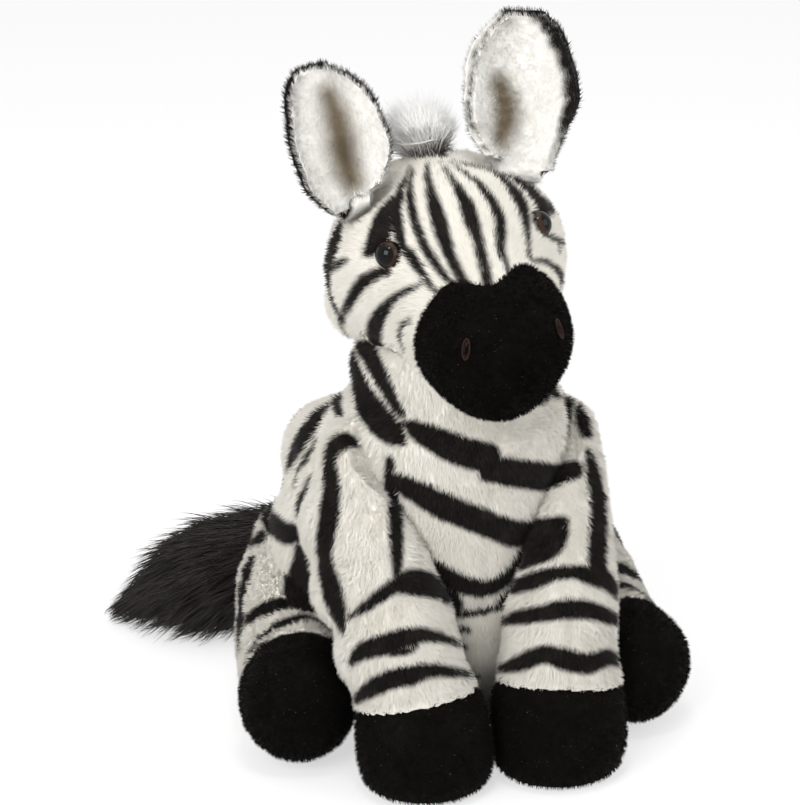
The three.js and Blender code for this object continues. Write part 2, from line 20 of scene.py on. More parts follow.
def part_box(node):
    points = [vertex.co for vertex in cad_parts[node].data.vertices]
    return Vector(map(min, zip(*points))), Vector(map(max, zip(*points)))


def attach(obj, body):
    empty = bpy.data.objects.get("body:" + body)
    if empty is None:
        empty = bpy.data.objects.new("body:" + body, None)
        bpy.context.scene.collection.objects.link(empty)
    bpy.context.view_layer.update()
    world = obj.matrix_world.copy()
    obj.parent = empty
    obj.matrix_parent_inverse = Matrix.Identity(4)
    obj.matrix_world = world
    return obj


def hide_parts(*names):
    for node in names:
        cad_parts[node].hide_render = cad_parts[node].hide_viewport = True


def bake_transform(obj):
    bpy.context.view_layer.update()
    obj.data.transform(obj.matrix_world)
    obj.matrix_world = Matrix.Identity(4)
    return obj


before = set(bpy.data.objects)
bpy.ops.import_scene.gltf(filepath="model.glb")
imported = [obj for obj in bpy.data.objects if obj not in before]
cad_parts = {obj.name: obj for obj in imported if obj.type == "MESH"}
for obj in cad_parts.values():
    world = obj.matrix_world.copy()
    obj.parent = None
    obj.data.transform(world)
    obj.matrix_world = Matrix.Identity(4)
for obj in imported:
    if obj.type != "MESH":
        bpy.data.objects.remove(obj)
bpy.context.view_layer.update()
MM = 0.001

# %% [markdown]
# ## The camera
#
# The photograph looks at the toy from a little to its right and from above. A long lens keeps the legs
# from looking too large. The toy sits low and to the right in the picture, so the lens is shifted a
# little. The same numbers also let a point of the photograph be followed back onto the toy, which is how
# the stripes are placed further down.

# %% Camera at the photograph's angle
PHOTO_WIDTH, PHOTO_HEIGHT = 800, 805
VIEW_AZIMUTH = math.radians(-14)
VIEW_ELEVATION = math.radians(22)
VIEW_TARGET = Vector((0.0, -0.030, 0.150))
VIEW_DISTANCE = 1.5
FOCAL_PIXELS = 3000
PICTURE_RIGHT, PICTURE_DOWN = 52.8, 42.7
SENSOR_WIDTH = 36.0

view_back = Vector((
    math.sin(VIEW_AZIMUTH) * math.cos(VIEW_ELEVATION),
    -math.cos(VIEW_AZIMUTH) * math.cos(VIEW_ELEVATION),
    math.sin(VIEW_ELEVATION),
))
view_right = Vector((math.cos(VIEW_AZIMUTH), math.sin(VIEW_AZIMUTH), 0))
view_up = view_back.cross(view_right)
view_eye = VIEW_TARGET + view_back * VIEW_DISTANCE

lens = bpy.data.cameras.new("photo_camera")
lens.sensor_width = SENSOR_WIDTH
lens.lens = SENSOR_WIDTH * FOCAL_PIXELS / PHOTO_HEIGHT
lens.shift_x = -PICTURE_RIGHT / PHOTO_HEIGHT
lens.shift_y = PICTURE_DOWN / PHOTO_HEIGHT
camera = bpy.data.objects.new("photo_camera", lens)
camera.location = view_eye
camera.rotation_euler = (-view_back).to_track_quat("-Z", "Y").to_euler()
bpy.context.scene.collection.objects.link(camera)
bpy.context.scene.camera = camera
print("camera", round(VIEW_DISTANCE, 2), "m away with a", round(lens.lens), "mm lens")


# %% Follow a pixel of the photograph into the scene
def photo_ray(pixel):
    """The direction in which the camera sees a pixel (x, y) of the photograph."""
    across = (pixel[0] - PHOTO_WIDTH / 2 - PICTURE_RIGHT) / FOCAL_PIXELS
    down = (pixel[1] - PHOTO_HEIGHT / 2 - PICTURE_DOWN) / FOCAL_PIXELS
    return (view_right * across - view_up * down - view_back).normalized()


def in_photo(points):
    """The pixels of the photograph, x and y for each, where points of the scene are seen."""
    from_eye = points - np.array(view_eye)
    depth = -from_eye @ np.array(view_back)
    across = from_eye @ np.array(view_right) / depth * FOCAL_PIXELS + PHOTO_WIDTH / 2 + PICTURE_RIGHT
    down = -from_eye @ np.array(view_up) / depth * FOCAL_PIXELS + PHOTO_HEIGHT / 2 + PICTURE_DOWN
    return across, down


# %% [markdown]
# ## The studio
#
# A photographer lights soft toys with big soft lamps, so that every hair has a light and a dark side but
# no hard shadow falls. One small lamp, high in front, puts a spark in the eyes. The floor is plain and pale.
# To the camera it glows a little by itself, which makes the background white without any extra light on
# the toy, and it still keeps the toy's shadow.

# %% Floor, world and lamps
FLOOR_SIZE = 8.0
FLOOR_COLOUR = (0.86, 0.86, 0.86, 1)
FLOOR_GLOW = 0.62
WORLD_LIGHT = 0.65
LAMPS = {
    "window_left": {"at": (-1.4, -1.5, 1.5), "size": 1.3, "watts": 38},
    "window_right": {"at": (1.7, -1.2, 1.1), "size": 1.6, "watts": 16},
    "light_above": {"at": (0.0, 0.3, 2.0), "size": 1.5, "watts": 7},
    "spark": {"at": (-0.13, -0.55, 2.0), "size": 0.34, "watts": 7},
}


def deselect():
    bpy.ops.object.select_all(action="DESELECT")


def only(piece):
    """Selects one piece, so that the next operator acts on it alone."""
    deselect()
    piece.select_set(True)
    bpy.context.view_layer.objects.active = piece
    return piece


def seen_by_camera(nodes, links):
    """A socket that is 1 for what the camera sees directly, or in gloss, or through glass."""
    path = nodes.new("ShaderNodeLightPath")
    total = path.outputs["Is Camera Ray"]
    for ray in ("Is Glossy Ray", "Is Transmission Ray"):
        add = nodes.new("ShaderNodeMath")
        add.operation = "MAXIMUM"
        links.new(total, add.inputs[0])
        links.new(path.outputs[ray], add.inputs[1])
        total = add.outputs[0]
    return total


def floor_material():
    material = bpy.data.materials.new("studio_floor")
    material.use_nodes = True
    nodes, links = material.node_tree.nodes, material.node_tree.links
    nodes.clear()
    paper = nodes.new("ShaderNodeBsdfDiffuse")
    paper.inputs["Color"].default_value = FLOOR_COLOUR
    shade = nodes.new("ShaderNodeBsdfDiffuse")
    shade.inputs["Color"].default_value = (0.36, 0.36, 0.36, 1)
    glow = nodes.new("ShaderNodeEmission")
    glow.inputs["Strength"].default_value = FLOOR_GLOW
    bright = nodes.new("ShaderNodeAddShader")
    mix = nodes.new("ShaderNodeMixShader")
    output = nodes.new("ShaderNodeOutputMaterial")
    links.new(shade.outputs[0], bright.inputs[0])
    links.new(glow.outputs[0], bright.inputs[1])
    links.new(seen_by_camera(nodes, links), mix.inputs["Fac"])
    links.new(paper.outputs[0], mix.inputs[1])
    links.new(bright.outputs[0], mix.inputs[2])
    links.new(mix.outputs[0], output.inputs["Surface"])
    return material


deselect()
bpy.ops.mesh.primitive_plane_add(size=FLOOR_SIZE, location=(0, 0, 0))
floor = bpy.context.object
floor.name = "studio_floor"
floor.data.materials.append(floor_material())

world = bpy.data.worlds.new("studio_world")
bpy.context.scene.world = world
world.use_nodes = True
world_nodes, world_links = world.node_tree.nodes, world.node_tree.links
backdrop = world_nodes["Background"]
backdrop.inputs["Color"].default_value = (1, 1, 1, 1)
white_out = world_nodes.new("ShaderNodeMapRange")
white_out.inputs["To Min"].default_value = WORLD_LIGHT
white_out.inputs["To Max"].default_value = 1.0
world_links.new(seen_by_camera(world_nodes, world_links), white_out.inputs["Value"])
world_links.new(white_out.outputs["Result"], backdrop.inputs["Strength"])

for name, lamp in LAMPS.items():
    area = bpy.data.lights.new(name, "AREA")
    area.size = lamp["size"]
    area.energy = lamp["watts"]
    holder = bpy.data.objects.new(name, area)
    holder.location = lamp["at"]
    aim = VIEW_TARGET - Vector(lamp["at"])
    holder.rotation_euler = aim.to_track_quat("-Z", "Y").to_euler()
    bpy.context.scene.collection.objects.link(holder)
bpy.context.scene.view_settings.view_transform = "Standard"
print("studio with", len(LAMPS), "lamps")

# %% [markdown]
# ## Stuffed forms
#
# Torso, neck, head and legs are bags of cloth filled with fibre, and a bag shows its filling: it is round
# where the fibre pushes and drawn in where a thread pulls. Each form starts as a copy of the model's nodes,
# cover and filling together, which a voxel remesh melts into one closed skin of even faces. It is tucked in
# by the height of the pile, so that the hair tips end up where the model's surface was.

# %% Copy the model's nodes into one closed skin
VOXEL = 4 * MM
PILE_ROOM = 3 * MM


def apply_modifier(piece, kind, **settings):
    """Adds a modifier with some settings and applies it."""
    only(piece)
    modifier = piece.modifiers.new(kind.lower(), kind)
    for key, value in settings.items():
        setattr(modifier, key, value)
    bpy.ops.object.modifier_apply(modifier=modifier.name)


def joined_copy(name, nodes):
    """Copies nodes of the model into one new object, with their loose triangles merged."""
    deselect()
    for node in nodes:
        piece = bpy.data.objects.new(name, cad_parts[node].data.copy())
        bpy.context.scene.collection.objects.link(piece)
        piece.select_set(True)
    bpy.context.view_layer.objects.active = piece
    if len(nodes) > 1:
        bpy.ops.object.join()
    piece.name = name
    piece.data.materials.clear()
    bpy.ops.object.mode_set(mode="EDIT")
    bpy.ops.mesh.select_all(action="SELECT")
    bpy.ops.mesh.remove_doubles(threshold=0.01 * MM)
    bpy.ops.object.mode_set(mode="OBJECT")
    return piece


def outer_skin(piece):
    """Keeps the largest part of a mesh and drops closed pockets inside it."""
    name = piece.name
    only(piece)
    bpy.ops.object.mode_set(mode="EDIT")
    bpy.ops.mesh.select_all(action="SELECT")
    bpy.ops.mesh.separate(type="LOOSE")
    bpy.ops.object.mode_set(mode="OBJECT")
    parts = list(bpy.context.selected_objects)
    kept = max(parts, key=lambda part: len(part.data.vertices))
    for part in parts:
        if part is not kept:
            bpy.data.objects.remove(part)
    kept.name = name
    return kept


def add_wads(piece, wads):
    """Joins balls of fibre (place, radius) to a form, where the model was cut away round its neighbour."""
    balls = []
    for place, radius in wads:
        bpy.ops.mesh.primitive_ico_sphere_add(subdivisions=3, radius=radius, location=place)
        balls.append(bpy.context.object)
    only(piece)
    for ball in balls:
        ball.select_set(True)
    bpy.ops.object.join()


def melted_form(name, nodes, wads=(), tuck=PILE_ROOM, voxel=VOXEL, smoothing=7):
    """One smooth closed skin round some nodes, drawn in by the height of its pile."""
    piece = joined_copy(name, nodes)
    add_wads(piece, wads)
    piece.data.remesh_voxel_size = voxel
    bpy.ops.object.voxel_remesh()
    piece = outer_skin(piece)
    apply_modifier(piece, "SMOOTH", factor=0.5, iterations=smoothing)
    apply_modifier(piece, "DISPLACE", strength=-tuck, mid_level=0.0)
    return piece


SIDES = ("left", "right")
LIMBS = [(pair, side) for pair in ("front", "hind") for side in SIDES]


def limb_nodes(pair, side):
    parts = ("leg_cover", "leg_filling", "hoof_wall", "hoof_sole")
    return [f"{pair}_{part}_{side}" for part in parts]


body_nodes = ["torso_cover_left", "torso_cover_right", "torso_filling", "seat_bean_bag", "seat_panel"]
neck_nodes = ["neck_cover", "neck_filling"]
head_nodes = ["head_cover_left", "head_cover_right", "muzzle_cover", "chin_cover", "head_filling"]
BODY_WADS = [((-52, -6, 146), 28), ((-50, 13, 132), 33), ((-35, -34, 199), 23), ((29, -38, 190), 22)]
HEAD_WADS = [((-42, -26, 229), 22)]
LEG_WADS = {
    "front": [((52, -38, 166), 17), ((50, -44, 150), 21), ((48, -55, 131), 24), ((46, -65, 112), 26)],
    "hind": [((61, 32, 42), 29), ((66, 14, 42), 32), ((72, -10, 40), 33), ((77, -28, 38), 31),
             ((73, 14, 61), 31), ((77, -6, 56), 29), ((67, 20, 84), 27)],
}


def on_side(point, side):
    """The model is mirrored, so a place on the left gives the one on the right."""
    return np.array((point[0] if side == "left" else -point[0], point[1], point[2]))


def sized(wads, side="left"):
    return [(on_side(place, side) * MM, radius * MM) for place, radius in wads]


forms = {
    "body_plush": melted_form("body_plush", body_nodes + neck_nodes, sized(BODY_WADS)),
    "head_plush": melted_form("head_plush", head_nodes, sized(HEAD_WADS), voxel=3 * MM),
}
SPLAYED_WADS = [((57, -53, 122), 28), ((58, -70, 96), 26), ((51, -85, 68), 25)]
for pair, side in LIMBS:
    name = f"{pair}_leg_plush_{side}"
    wads = LEG_WADS[pair] + (SPLAYED_WADS if (pair, side) == ("front", "right") else [])
    forms[name] = melted_form(name, limb_nodes(pair, side), sized(wads, side))
print("forms:", {name: len(piece.data.vertices) for name, piece in forms.items()})

# %% [markdown]
# ## Stuffing
#
# The cloth simulation blows every bag up from inside for twenty frames, with gravity off. It rounds the
# flat places and leaves small folds where the bag is short of cloth. How far a point may move is capped, so
# that no form grows into its neighbour, and the result is written into the mesh.

# %% Blow the bags up with a short cloth simulation
STUFFING_PRESSURE = 4
STUFFING_FRAMES = 20
MOST_SWELL = 3.5 * MM


def coordinates(mesh):
    flat = np.empty(3 * len(mesh.vertices))
    mesh.vertices.foreach_get("co", flat)
    return flat.reshape(-1, 3)


def move_to(piece, points):
    piece.data.vertices.foreach_set("co", np.ascontiguousarray(points).ravel())
    piece.data.update()


def add_stuffing(piece):
    cloth = piece.modifiers.new("stuffing", "CLOTH")
    cloth.settings.quality = 5
    cloth.settings.mass = 0.3
    cloth.settings.tension_stiffness = 12
    cloth.settings.compression_stiffness = 12
    cloth.settings.bending_stiffness = 0.4
    cloth.settings.use_pressure = True
    cloth.settings.uniform_pressure_force = STUFFING_PRESSURE
    cloth.settings.effector_weights.gravity = 0
    cloth.collision_settings.use_collision = False
    cloth.point_cache.frame_start = 1
    cloth.point_cache.frame_end = STUFFING_FRAMES


def settle(piece, graph):
    """Takes a piece's simulated shape, with its movement capped, and removes the simulation."""
    start = coordinates(piece.data)
    puffed = piece.evaluated_get(graph)
    move = coordinates(puffed.to_mesh()) - start
    puffed.to_mesh_clear()
    length = np.linalg.norm(move, axis=1, keepdims=True)
    move *= np.minimum(1, MOST_SWELL / np.maximum(length, 1e-9))
    piece.modifiers.remove(piece.modifiers["stuffing"])
    move_to(piece, start + move)
    return length.max()


for piece in forms.values():
    add_stuffing(piece)
for moment in range(1, STUFFING_FRAMES + 1):
    bpy.context.scene.frame_set(moment)
graph = bpy.context.evaluated_depsgraph_get()
swells = [settle(piece, graph) for piece in forms.values()]
bpy.context.scene.frame_set(1)
print("most swell, mm:", [round(swell / MM, 1) for swell in swells])
for piece in forms.values():
    apply_modifier(piece, "SUBSURF", levels=1, render_levels=1)
    only(piece)
    bpy.ops.object.shade_smooth()

# %% [markdown]
# ## Joins between the stuffed parts
#
# On the toy the neck is one cloth with the shoulders, and each leg is sewn on so that its top disappears
# under the body's fur. The melted forms still show the model's collar edge and the thin upper ends of the
# legs. The collar is relaxed until it runs into the neck, and the tops of the legs are let out of the body
# on a slope, as if they grew from it.

# %% A form's surface, with a tree that finds the nearest place on it
LINE_OUT = Vector((0.31, 0.17, 0.93)).normalized()


class Skin:
    def __init__(self, piece):
        self.piece = piece
        self.read()

    def read(self):
        mesh = self.piece.data
        flat = np.empty(3 * len(mesh.vertices))
        mesh.vertices.foreach_get("normal", flat)
        self.points = coordinates(mesh)
        self.normals = flat.reshape(-1, 3)
        self.tree = BVHTree.FromObject(self.piece, bpy.context.evaluated_depsgraph_get())
        return self

    def set_points(self, points):
        move_to(self.piece, points)
        return self.read()

    def heights(self, points):
        """How far points stand out of this skin, less than 0 inside, and the way out of it there."""
        found = [self.tree.find_nearest(Vector(point)) for point in points]
        places = np.array([hit[0] for hit in found])
        outward = np.array([hit[1] for hit in found])
        return np.sum((points - places) * outward, axis=1), outward

    def seen_at(self, pixel):
        """The place on this skin that the photograph shows at a pixel, or the nearest one beside it."""
        direction = photo_ray(pixel)
        place = self.tree.ray_cast(view_eye, direction)[0]
        if place is None:
            middle = Vector(self.points.mean(axis=0))
            beside = view_eye + direction * (middle - view_eye).length
            place = self.tree.find_nearest(beside)[0]
        return place

    def nearest(self, points):
        return np.array([self.tree.find_nearest(Vector(point))[0] for point in points])

    def contains(self, points):
        """Which points lie inside: a line from such a point crosses the skin an odd number of times."""
        inside = np.zeros(len(points), dtype=bool)
        for number, point in enumerate(points):
            place = self.tree.ray_cast(Vector(point), LINE_OUT)[0]
            while place is not None:
                inside[number] = not inside[number]
                place = self.tree.ray_cast(place + LINE_OUT * 0.01 * MM, LINE_OUT)[0]
        return inside


def ramp(values, low, high):
    """Smoothly from 0 at low to 1 at high."""
    along = np.clip((values - low) / (high - low), 0, 1)
    return along * along * (3 - 2 * along)


def relax(skin, weights, rounds):
    """Smooths a form only where the weights, one for each point, are above 0."""
    group = skin.piece.vertex_groups.new(name="relaxed")
    for index in np.flatnonzero(weights > 0.01):
        group.add([int(index)], float(weights[index]), "REPLACE")
    apply_modifier(skin.piece, "SMOOTH", factor=0.5, iterations=rounds, vertex_group="relaxed")
    skin.piece.vertex_groups.clear()
    return skin.read()


skins = {name: Skin(piece) for name, piece in forms.items()}
body, head = skins["body_plush"], skins["head_plush"]

# %% Run the collar into the neck
COLLAR_LOW, COLLAR_HIGH = 158 * MM, 222 * MM
COLLAR_EASE = 14 * MM
COLLAR_ROUNDS = 90
collar_height = body.points[:, 2]
collar = ramp(collar_height, COLLAR_LOW, COLLAR_LOW + COLLAR_EASE)
collar *= 1 - ramp(collar_height, COLLAR_HIGH - COLLAR_EASE, COLLAR_HIGH)
relax(body, collar, COLLAR_ROUNDS)
print("collar relaxed at", int(np.sum(collar > 0.01)), "points")

# %% Let the tops of the legs out of the body on a slope
LEG_TOP = {"front": Vector((54, -34, 180)) * MM, "hind": Vector((58, 40, 46)) * MM}
LEG_FOOT = {"front": Vector((34, -109, -7)) * MM, "hind": Vector((92, -86, 32)) * MM}
LEG_SLOPE = 1.0
TOP_DEPTH = 5 * MM
TOP_REACH = (20 * MM, 60 * MM)  # down the leg, the smoothing of its top fades out between these
TOP_ROUNDS = 12

for pair, side in LIMBS:
    leg = skins[f"{pair}_leg_plush_{side}"]
    top, foot = on_side(LEG_TOP[pair], side), on_side(LEG_FOOT[pair], side)
    down = (foot - top) / np.linalg.norm(foot - top)
    height, outward = body.heights(leg.points)
    allowed = LEG_SLOPE * ((leg.points - top) @ down) - TOP_DEPTH
    excess = np.maximum(height - allowed, 0)
    leg.set_points(leg.points - outward * excess[:, None])
    near_top = 1 - ramp((leg.points - top) @ down, *TOP_REACH)
    relax(leg, near_top, TOP_ROUNDS)
    print(f"{pair} leg {side}: top sunk by up to {excess.max() / MM:.0f} mm")

# %% [markdown]
# ## Seams
#
# Where two cloths meet, the thread pulls the edge in and the pile closes over it, so a seam on plush is a
# soft valley and not a line. Each seam is a smooth curve through a few places of the photograph, followed
# onto the form, and the points near it are drawn in. The same curve tool draws the stripes later.

# %% Draw a curve on a skin from a few places of the photograph
CURVE_STEPS = 14


def smooth_path(marks):
    """Points on a smooth curve through a few marks, whatever number of values each mark has."""
    marks = np.array(marks, float)
    ends = np.vstack([2 * marks[0] - marks[1], marks, 2 * marks[-1] - marks[-2]])
    t = np.linspace(0, 1, CURVE_STEPS, endpoint=False)[:, None]
    rows = []
    for a, b, c, d in zip(ends, ends[1:], ends[2:], ends[3:]):
        bend = (c - a) * t + (2 * a - 5 * b + 4 * c - d) * t**2 + (3 * b - a - 3 * c + d) * t**3
        rows.append(b + bend / 2)
    return np.vstack(rows + [marks[-1:]])


def drawn_on(skin, marks):
    """Follows marks (x, y, half width in mm) onto a skin, as rows of place and half width."""
    path = smooth_path(marks)
    places = np.array([skin.seen_at(pixel) for pixel in path[:, :2]])
    return np.hstack([places, path[:, 2:3] * MM])


def distance_to(points, line):
    """How far each point is from the nearest edge of a line's band, less than 0 inside it."""
    best = np.full(len(points), 1.0)
    squares = np.sum(points**2, axis=1)[:, None]
    for start in range(0, len(line), 400):
        part = line[start:start + 400]
        away = squares + np.sum(part[:, :3] ** 2, axis=1) - 2 * points @ part[:, :3].T
        away = np.sqrt(np.maximum(away, 0)) - part[:, 3]
        best = np.minimum(best, away.min(axis=1))
    return best


def sew(skin, marks, depth, width=3 * MM):
    """Draws the skin in along a seam."""
    line = drawn_on(skin, [(x, y, 0) for x, y in marks])
    pull = depth * np.exp(-((distance_to(skin.points, line) / width) ** 2))
    skin.set_points(skin.points - skin.normals * pull[:, None])


# %% Chest, belly, jaw and leg seams
CHEST_SEAM = [(500, 425), (490, 455), (490, 500), (487, 550), (484, 610)]
BELLY_SEAM_RIGHT = [(398, 543), (410, 541), (422, 550), (432, 566), (446, 590)]
BELLY_SEAM_LEFT = [(566, 543), (548, 556), (528, 574), (512, 590)]
JAW_SEAM = [(340, 322), (352, 335), (367, 347), (382, 356), (399, 362), (412, 364)]
LEG_SEAM_RIGHT = [(398, 610), (401, 640), (405, 668), (412, 700)]
LEG_SEAM_LEFT = [(571, 600), (571, 640), (569, 700)]

sew(body, CHEST_SEAM, 1.2 * MM)
sew(body, BELLY_SEAM_RIGHT, 1.6 * MM)
sew(body, BELLY_SEAM_LEFT, 1.6 * MM)
sew(head, JAW_SEAM, 2.0 * MM, 2.5 * MM)
sew(skins["front_leg_plush_right"], LEG_SEAM_RIGHT, 1.3 * MM)
sew(skins["front_leg_plush_left"], LEG_SEAM_LEFT, 1.3 * MM)

# %% [markdown]
# ## Velour covers
#
# Muzzle and hooves are cut from a shorter, black velour and sewn to the striped plush. Each cover is the
# part of its form in front of a seam, copied, lifted off the form with its edge tucked under, and given
# the cloth's thickness. The seam's place comes from the model: the ring where two of its nodes meet. Only
# the muzzle's upper edge, which dips in its middle, also follows a few marks of the photograph.

# %% Find the ring where two nodes meet
def node_points(node):
    return coordinates(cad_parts[node].data)


def meeting_ring(first, second, reach=1.2 * MM):
    """Middle of the ring of points that two nodes share, and the direction square to it, towards second."""
    near, far = node_points(first), node_points(second)
    gaps = np.linalg.norm(far[:, None, :] - near[None, :, :], axis=2).min(axis=1)
    ring = far[gaps < reach]
    middle = ring.mean(axis=0)
    across = np.linalg.svd(ring - middle)[2][2]
    if (far.mean(axis=0) - middle) @ across < 0:
        across = -across
    return middle, across


hoof_seams = {}
for pair, side in LIMBS:
    nodes = (f"{pair}_leg_cover_{side}", f"{pair}_hoof_wall_{side}")
    hoof_seams[pair, side] = meeting_ring(*nodes)
    seam_place, seam_facing = hoof_seams[pair, side]
    print(nodes[1], "starts at", (seam_place / MM).round(), "facing", seam_facing.round(2))

# %% Cut a velour cover from a form
VELOUR_LIFT = 1.8 * MM
VELOUR_THICKNESS = 1.6 * MM
EDGE_ROLL = 5 * MM
EDGE_TUCK = 0.8 * MM
TUCKED_STRIP = 1.5 * MM  # how much of the cover stays behind its seam, tucked under


def velour_cover(name, skin, ahead):
    """Copies the part of a form where ahead, one length for each point, is above 0, as a cover."""
    cover = bpy.data.objects.new(name, skin.piece.data.copy())
    bpy.context.scene.collection.objects.link(cover)
    roll = np.clip(ahead / EDGE_ROLL, -1, 1)
    lift = VELOUR_LIFT * np.sqrt(np.maximum(1 - (1 - np.maximum(roll, 0)) ** 2, 0)) - EDGE_TUCK * (roll <= 0)
    move_to(cover, skin.points + skin.normals * lift[:, None])
    only(cover)
    bpy.ops.object.mode_set(mode="EDIT")
    bpy.ops.mesh.select_all(action="DESELECT")
    bpy.ops.object.mode_set(mode="OBJECT")
    cover.data.polygons.foreach_set("select", [
        bool(max(ahead[v] for v in face.vertices) < -TUCKED_STRIP) for face in cover.data.polygons
    ])
    bpy.ops.object.mode_set(mode="EDIT")
    bpy.ops.mesh.delete(type="FACE")
    bpy.ops.object.mode_set(mode="OBJECT")
    apply_modifier(cover, "SOLIDIFY", thickness=VELOUR_THICKNESS, offset=-1)
    return cover


FRONT_HOOF_WIDER = 0.08
HOOF_EASE = (-25 * MM, 8 * MM)  # from the hoof's seam: between these it starts to widen and settle
FRONT_HOOF_SETTLED = {"left": (2, 4, 0), "right": (3, 4, 0)}  # in millimetres, under the toy's own weight

covers = {}
hidden_by_cover = {}
for pair, side in LIMBS:
    leg = skins[f"{pair}_leg_plush_{side}"]
    middle, across = hoof_seams[pair, side]
    ahead = (leg.points - middle) @ across
    if pair == "front":
        near_hoof = ramp(ahead, *HOOF_EASE)[:, None]
        sideways = (leg.points - leg.points[ahead > 0].mean(axis=0)) @ np.array(view_right)
        wider = np.outer(sideways * FRONT_HOOF_WIDER, view_right)
        leg.set_points(leg.points + near_hoof * (wider + np.array(FRONT_HOOF_SETTLED[side]) * MM))
    covers[f"{pair}_hoof_{side}"] = velour_cover(f"{pair}_hoof_{side}", leg, ahead)
    hidden_by_cover[leg.piece.name] = ahead

MUZZLE_TOP = [(411, 318), (416, 312), (423, 302), (432, 294), (448, 292), (466, 298), (480, 302), (488, 306),
              (496, 298), (505, 289), (510, 281), (517, 274), (528, 271), (539, 272), (548, 279), (557, 289)]
MUZZLE_REACH = 7 * MM
PIXELS_TO_METRES = VIEW_DISTANCE / FOCAL_PIXELS
MUZZLE_HANG = (-1.5, -2.5)  # across and up, in millimetres: the muzzle's fibre settles to one side
CHIN_NARROWING = 0.17
TOP_EASE = (8 * MM, 26 * MM)  # how far above the muzzle's middle its upper edge starts to follow the marks
HANG_EASE = (2 * MM, 32 * MM)  # how far in front of its seam the muzzle starts to hang
CHIN_EASE = (8 * MM, 42 * MM)  # how far below the muzzle's middle it starts to narrow
middle, muzzle_ahead = meeting_ring("head_cover_left", "muzzle_cover", 1.5 * MM)
muzzle_middle = (middle + meeting_ring("head_cover_right", "muzzle_cover", 1.5 * MM)[0]) / 2
HEAD_YAW, HEAD_ROLL = math.radians(6), math.radians(-5)
head_across = np.array((
    math.cos(HEAD_YAW) * math.cos(HEAD_ROLL),
    math.sin(HEAD_YAW) * math.cos(HEAD_ROLL),
    -math.sin(HEAD_ROLL),
))
NECK_CENTRE = np.array((0, -38, 204)) * MM
head_up = np.cross(muzzle_ahead, head_across)
place_across = (head.points - NECK_CENTRE) @ head_across
place_up = (head.points - muzzle_middle) @ head_up
on_top = ramp(place_up, *TOP_EASE)
seen_x, seen_y = in_photo(head.points)
below_top = (seen_y - np.interp(seen_x, *zip(*MUZZLE_TOP))) * PIXELS_TO_METRES
ahead = (head.points - muzzle_middle) @ muzzle_ahead + on_top * MUZZLE_REACH
ahead += on_top * (np.minimum(ahead, below_top) - ahead)
hanging = ramp(ahead, *HANG_EASE)
narrowing = CHIN_NARROWING * hanging * ramp(-place_up, *CHIN_EASE)
head.set_points(head.points + np.outer(hanging * MUZZLE_HANG[0] * MM - narrowing * place_across, head_across)
                + np.outer(hanging * MUZZLE_HANG[1] * MM, head_up))
covers["muzzle"] = velour_cover("muzzle", head, ahead)
hidden_by_cover["head_plush"] = ahead
print("muzzle starts at", (muzzle_middle / MM).round(), "facing", muzzle_ahead.round(2))

# %% [markdown]
# ## Stripes
#
# The plush is printed before it is cut, so the stripes are soft-edged and end where a seam cuts them. Each
# stripe is a few marks (x, y in the photograph, half width in millimetres), followed onto its form. What
# the photograph doesn't show is filled in: the neck, the cheek and the left haunch repeat the other side
# mirrored, the backs of the limbs repeat their fronts, and bands run round the back and over the back of
# the head. Every point of a form then knows how far it is from the nearest stripe.

# %% Stripes of the face
FACE_STRIPES = {
    "inner_brow": [(412, 170, 0.6), (400, 200, 2.8), (397, 215, 3.1), (404, 246, 2.0), (414, 259, 2.4),
                   (432, 286, 1.3), (440, 293, 0.6)],
    "brow_patch": [(395, 200, 1.6), (389, 213, 4.8), (385, 227, 6.2), (378, 240, 4.8), (370, 251, 2.6)],
    "second": [(414, 174, 0.6), (411, 190, 1.4), (412, 207, 2.0), (424, 244, 2.0), (444, 274, 1.8),
               (464, 296, 0.7)],
    "third": [(428, 168, 0.7), (429, 184, 1.7), (439, 221, 3.3), (451, 257, 2.4), (468, 288, 2.0),
              (482, 301, 0.9)],
    "fourth": [(442, 166, 0.6), (462, 198, 2.6), (469, 215, 3.3), (480, 251, 2.4), (488, 284, 2.2),
               (491, 297, 0.9)],
    "fifth": [(451, 166, 0.6), (480, 188, 2.0), (498, 219, 2.6), (500, 251, 2.0), (510, 278, 0.7)],
    "sixth": [(453, 164, 0.6), (491, 175, 1.5), (507, 187, 2.6), (518, 202, 3.7), (523, 217, 2.8),
              (526, 248, 1.3), (529, 263, 1.1)],
    "ear_band": [(512, 150, 1.8), (528, 162, 4.0), (542, 180, 5.6), (550, 196, 5.6), (546, 211, 3.0)],
    "crown": [(414, 160, 1.4), (430, 158, 4.2), (446, 160, 1.4)],
    "left_eye_line": [(542, 237, 1.2), (554, 241, 1.5), (567, 248, 1.5)],
    "left_cheek": [(529, 263, 0.9), (543, 264, 1.6), (554, 272, 2.3), (563, 284, 2.3)],
}
CHEEK_STRIPES = {
    "back_cheek": [(347, 215, 2.0), (335, 251, 5.8), (331, 271, 5.4), (334, 292, 3.4), (348, 331, 1.2)],
    "back_cheek_spur": [(335, 268, 2.0), (343, 263, 1.7), (350, 260, 0.7)],
    "eye_stripe": [(390, 272, 1.7), (377, 275, 2.4), (362, 285, 2.9), (346, 313, 2.0), (345, 325, 0.9)],
    "lower_cheek": [(424, 285, 0.9), (409, 291, 1.5), (394, 300, 2.0), (382, 315, 3.3), (377, 330, 4.2),
                    (378, 343, 3.7), (386, 354, 1.5)],
    "muzzle_line": [(413, 320, 0.9), (405, 324, 1.1), (403, 336, 1.1), (406, 347, 0.7)],
    "jaw_patch": [(410, 364, 0.9), (407, 370, 2.0), (415, 376, 1.1)],
}

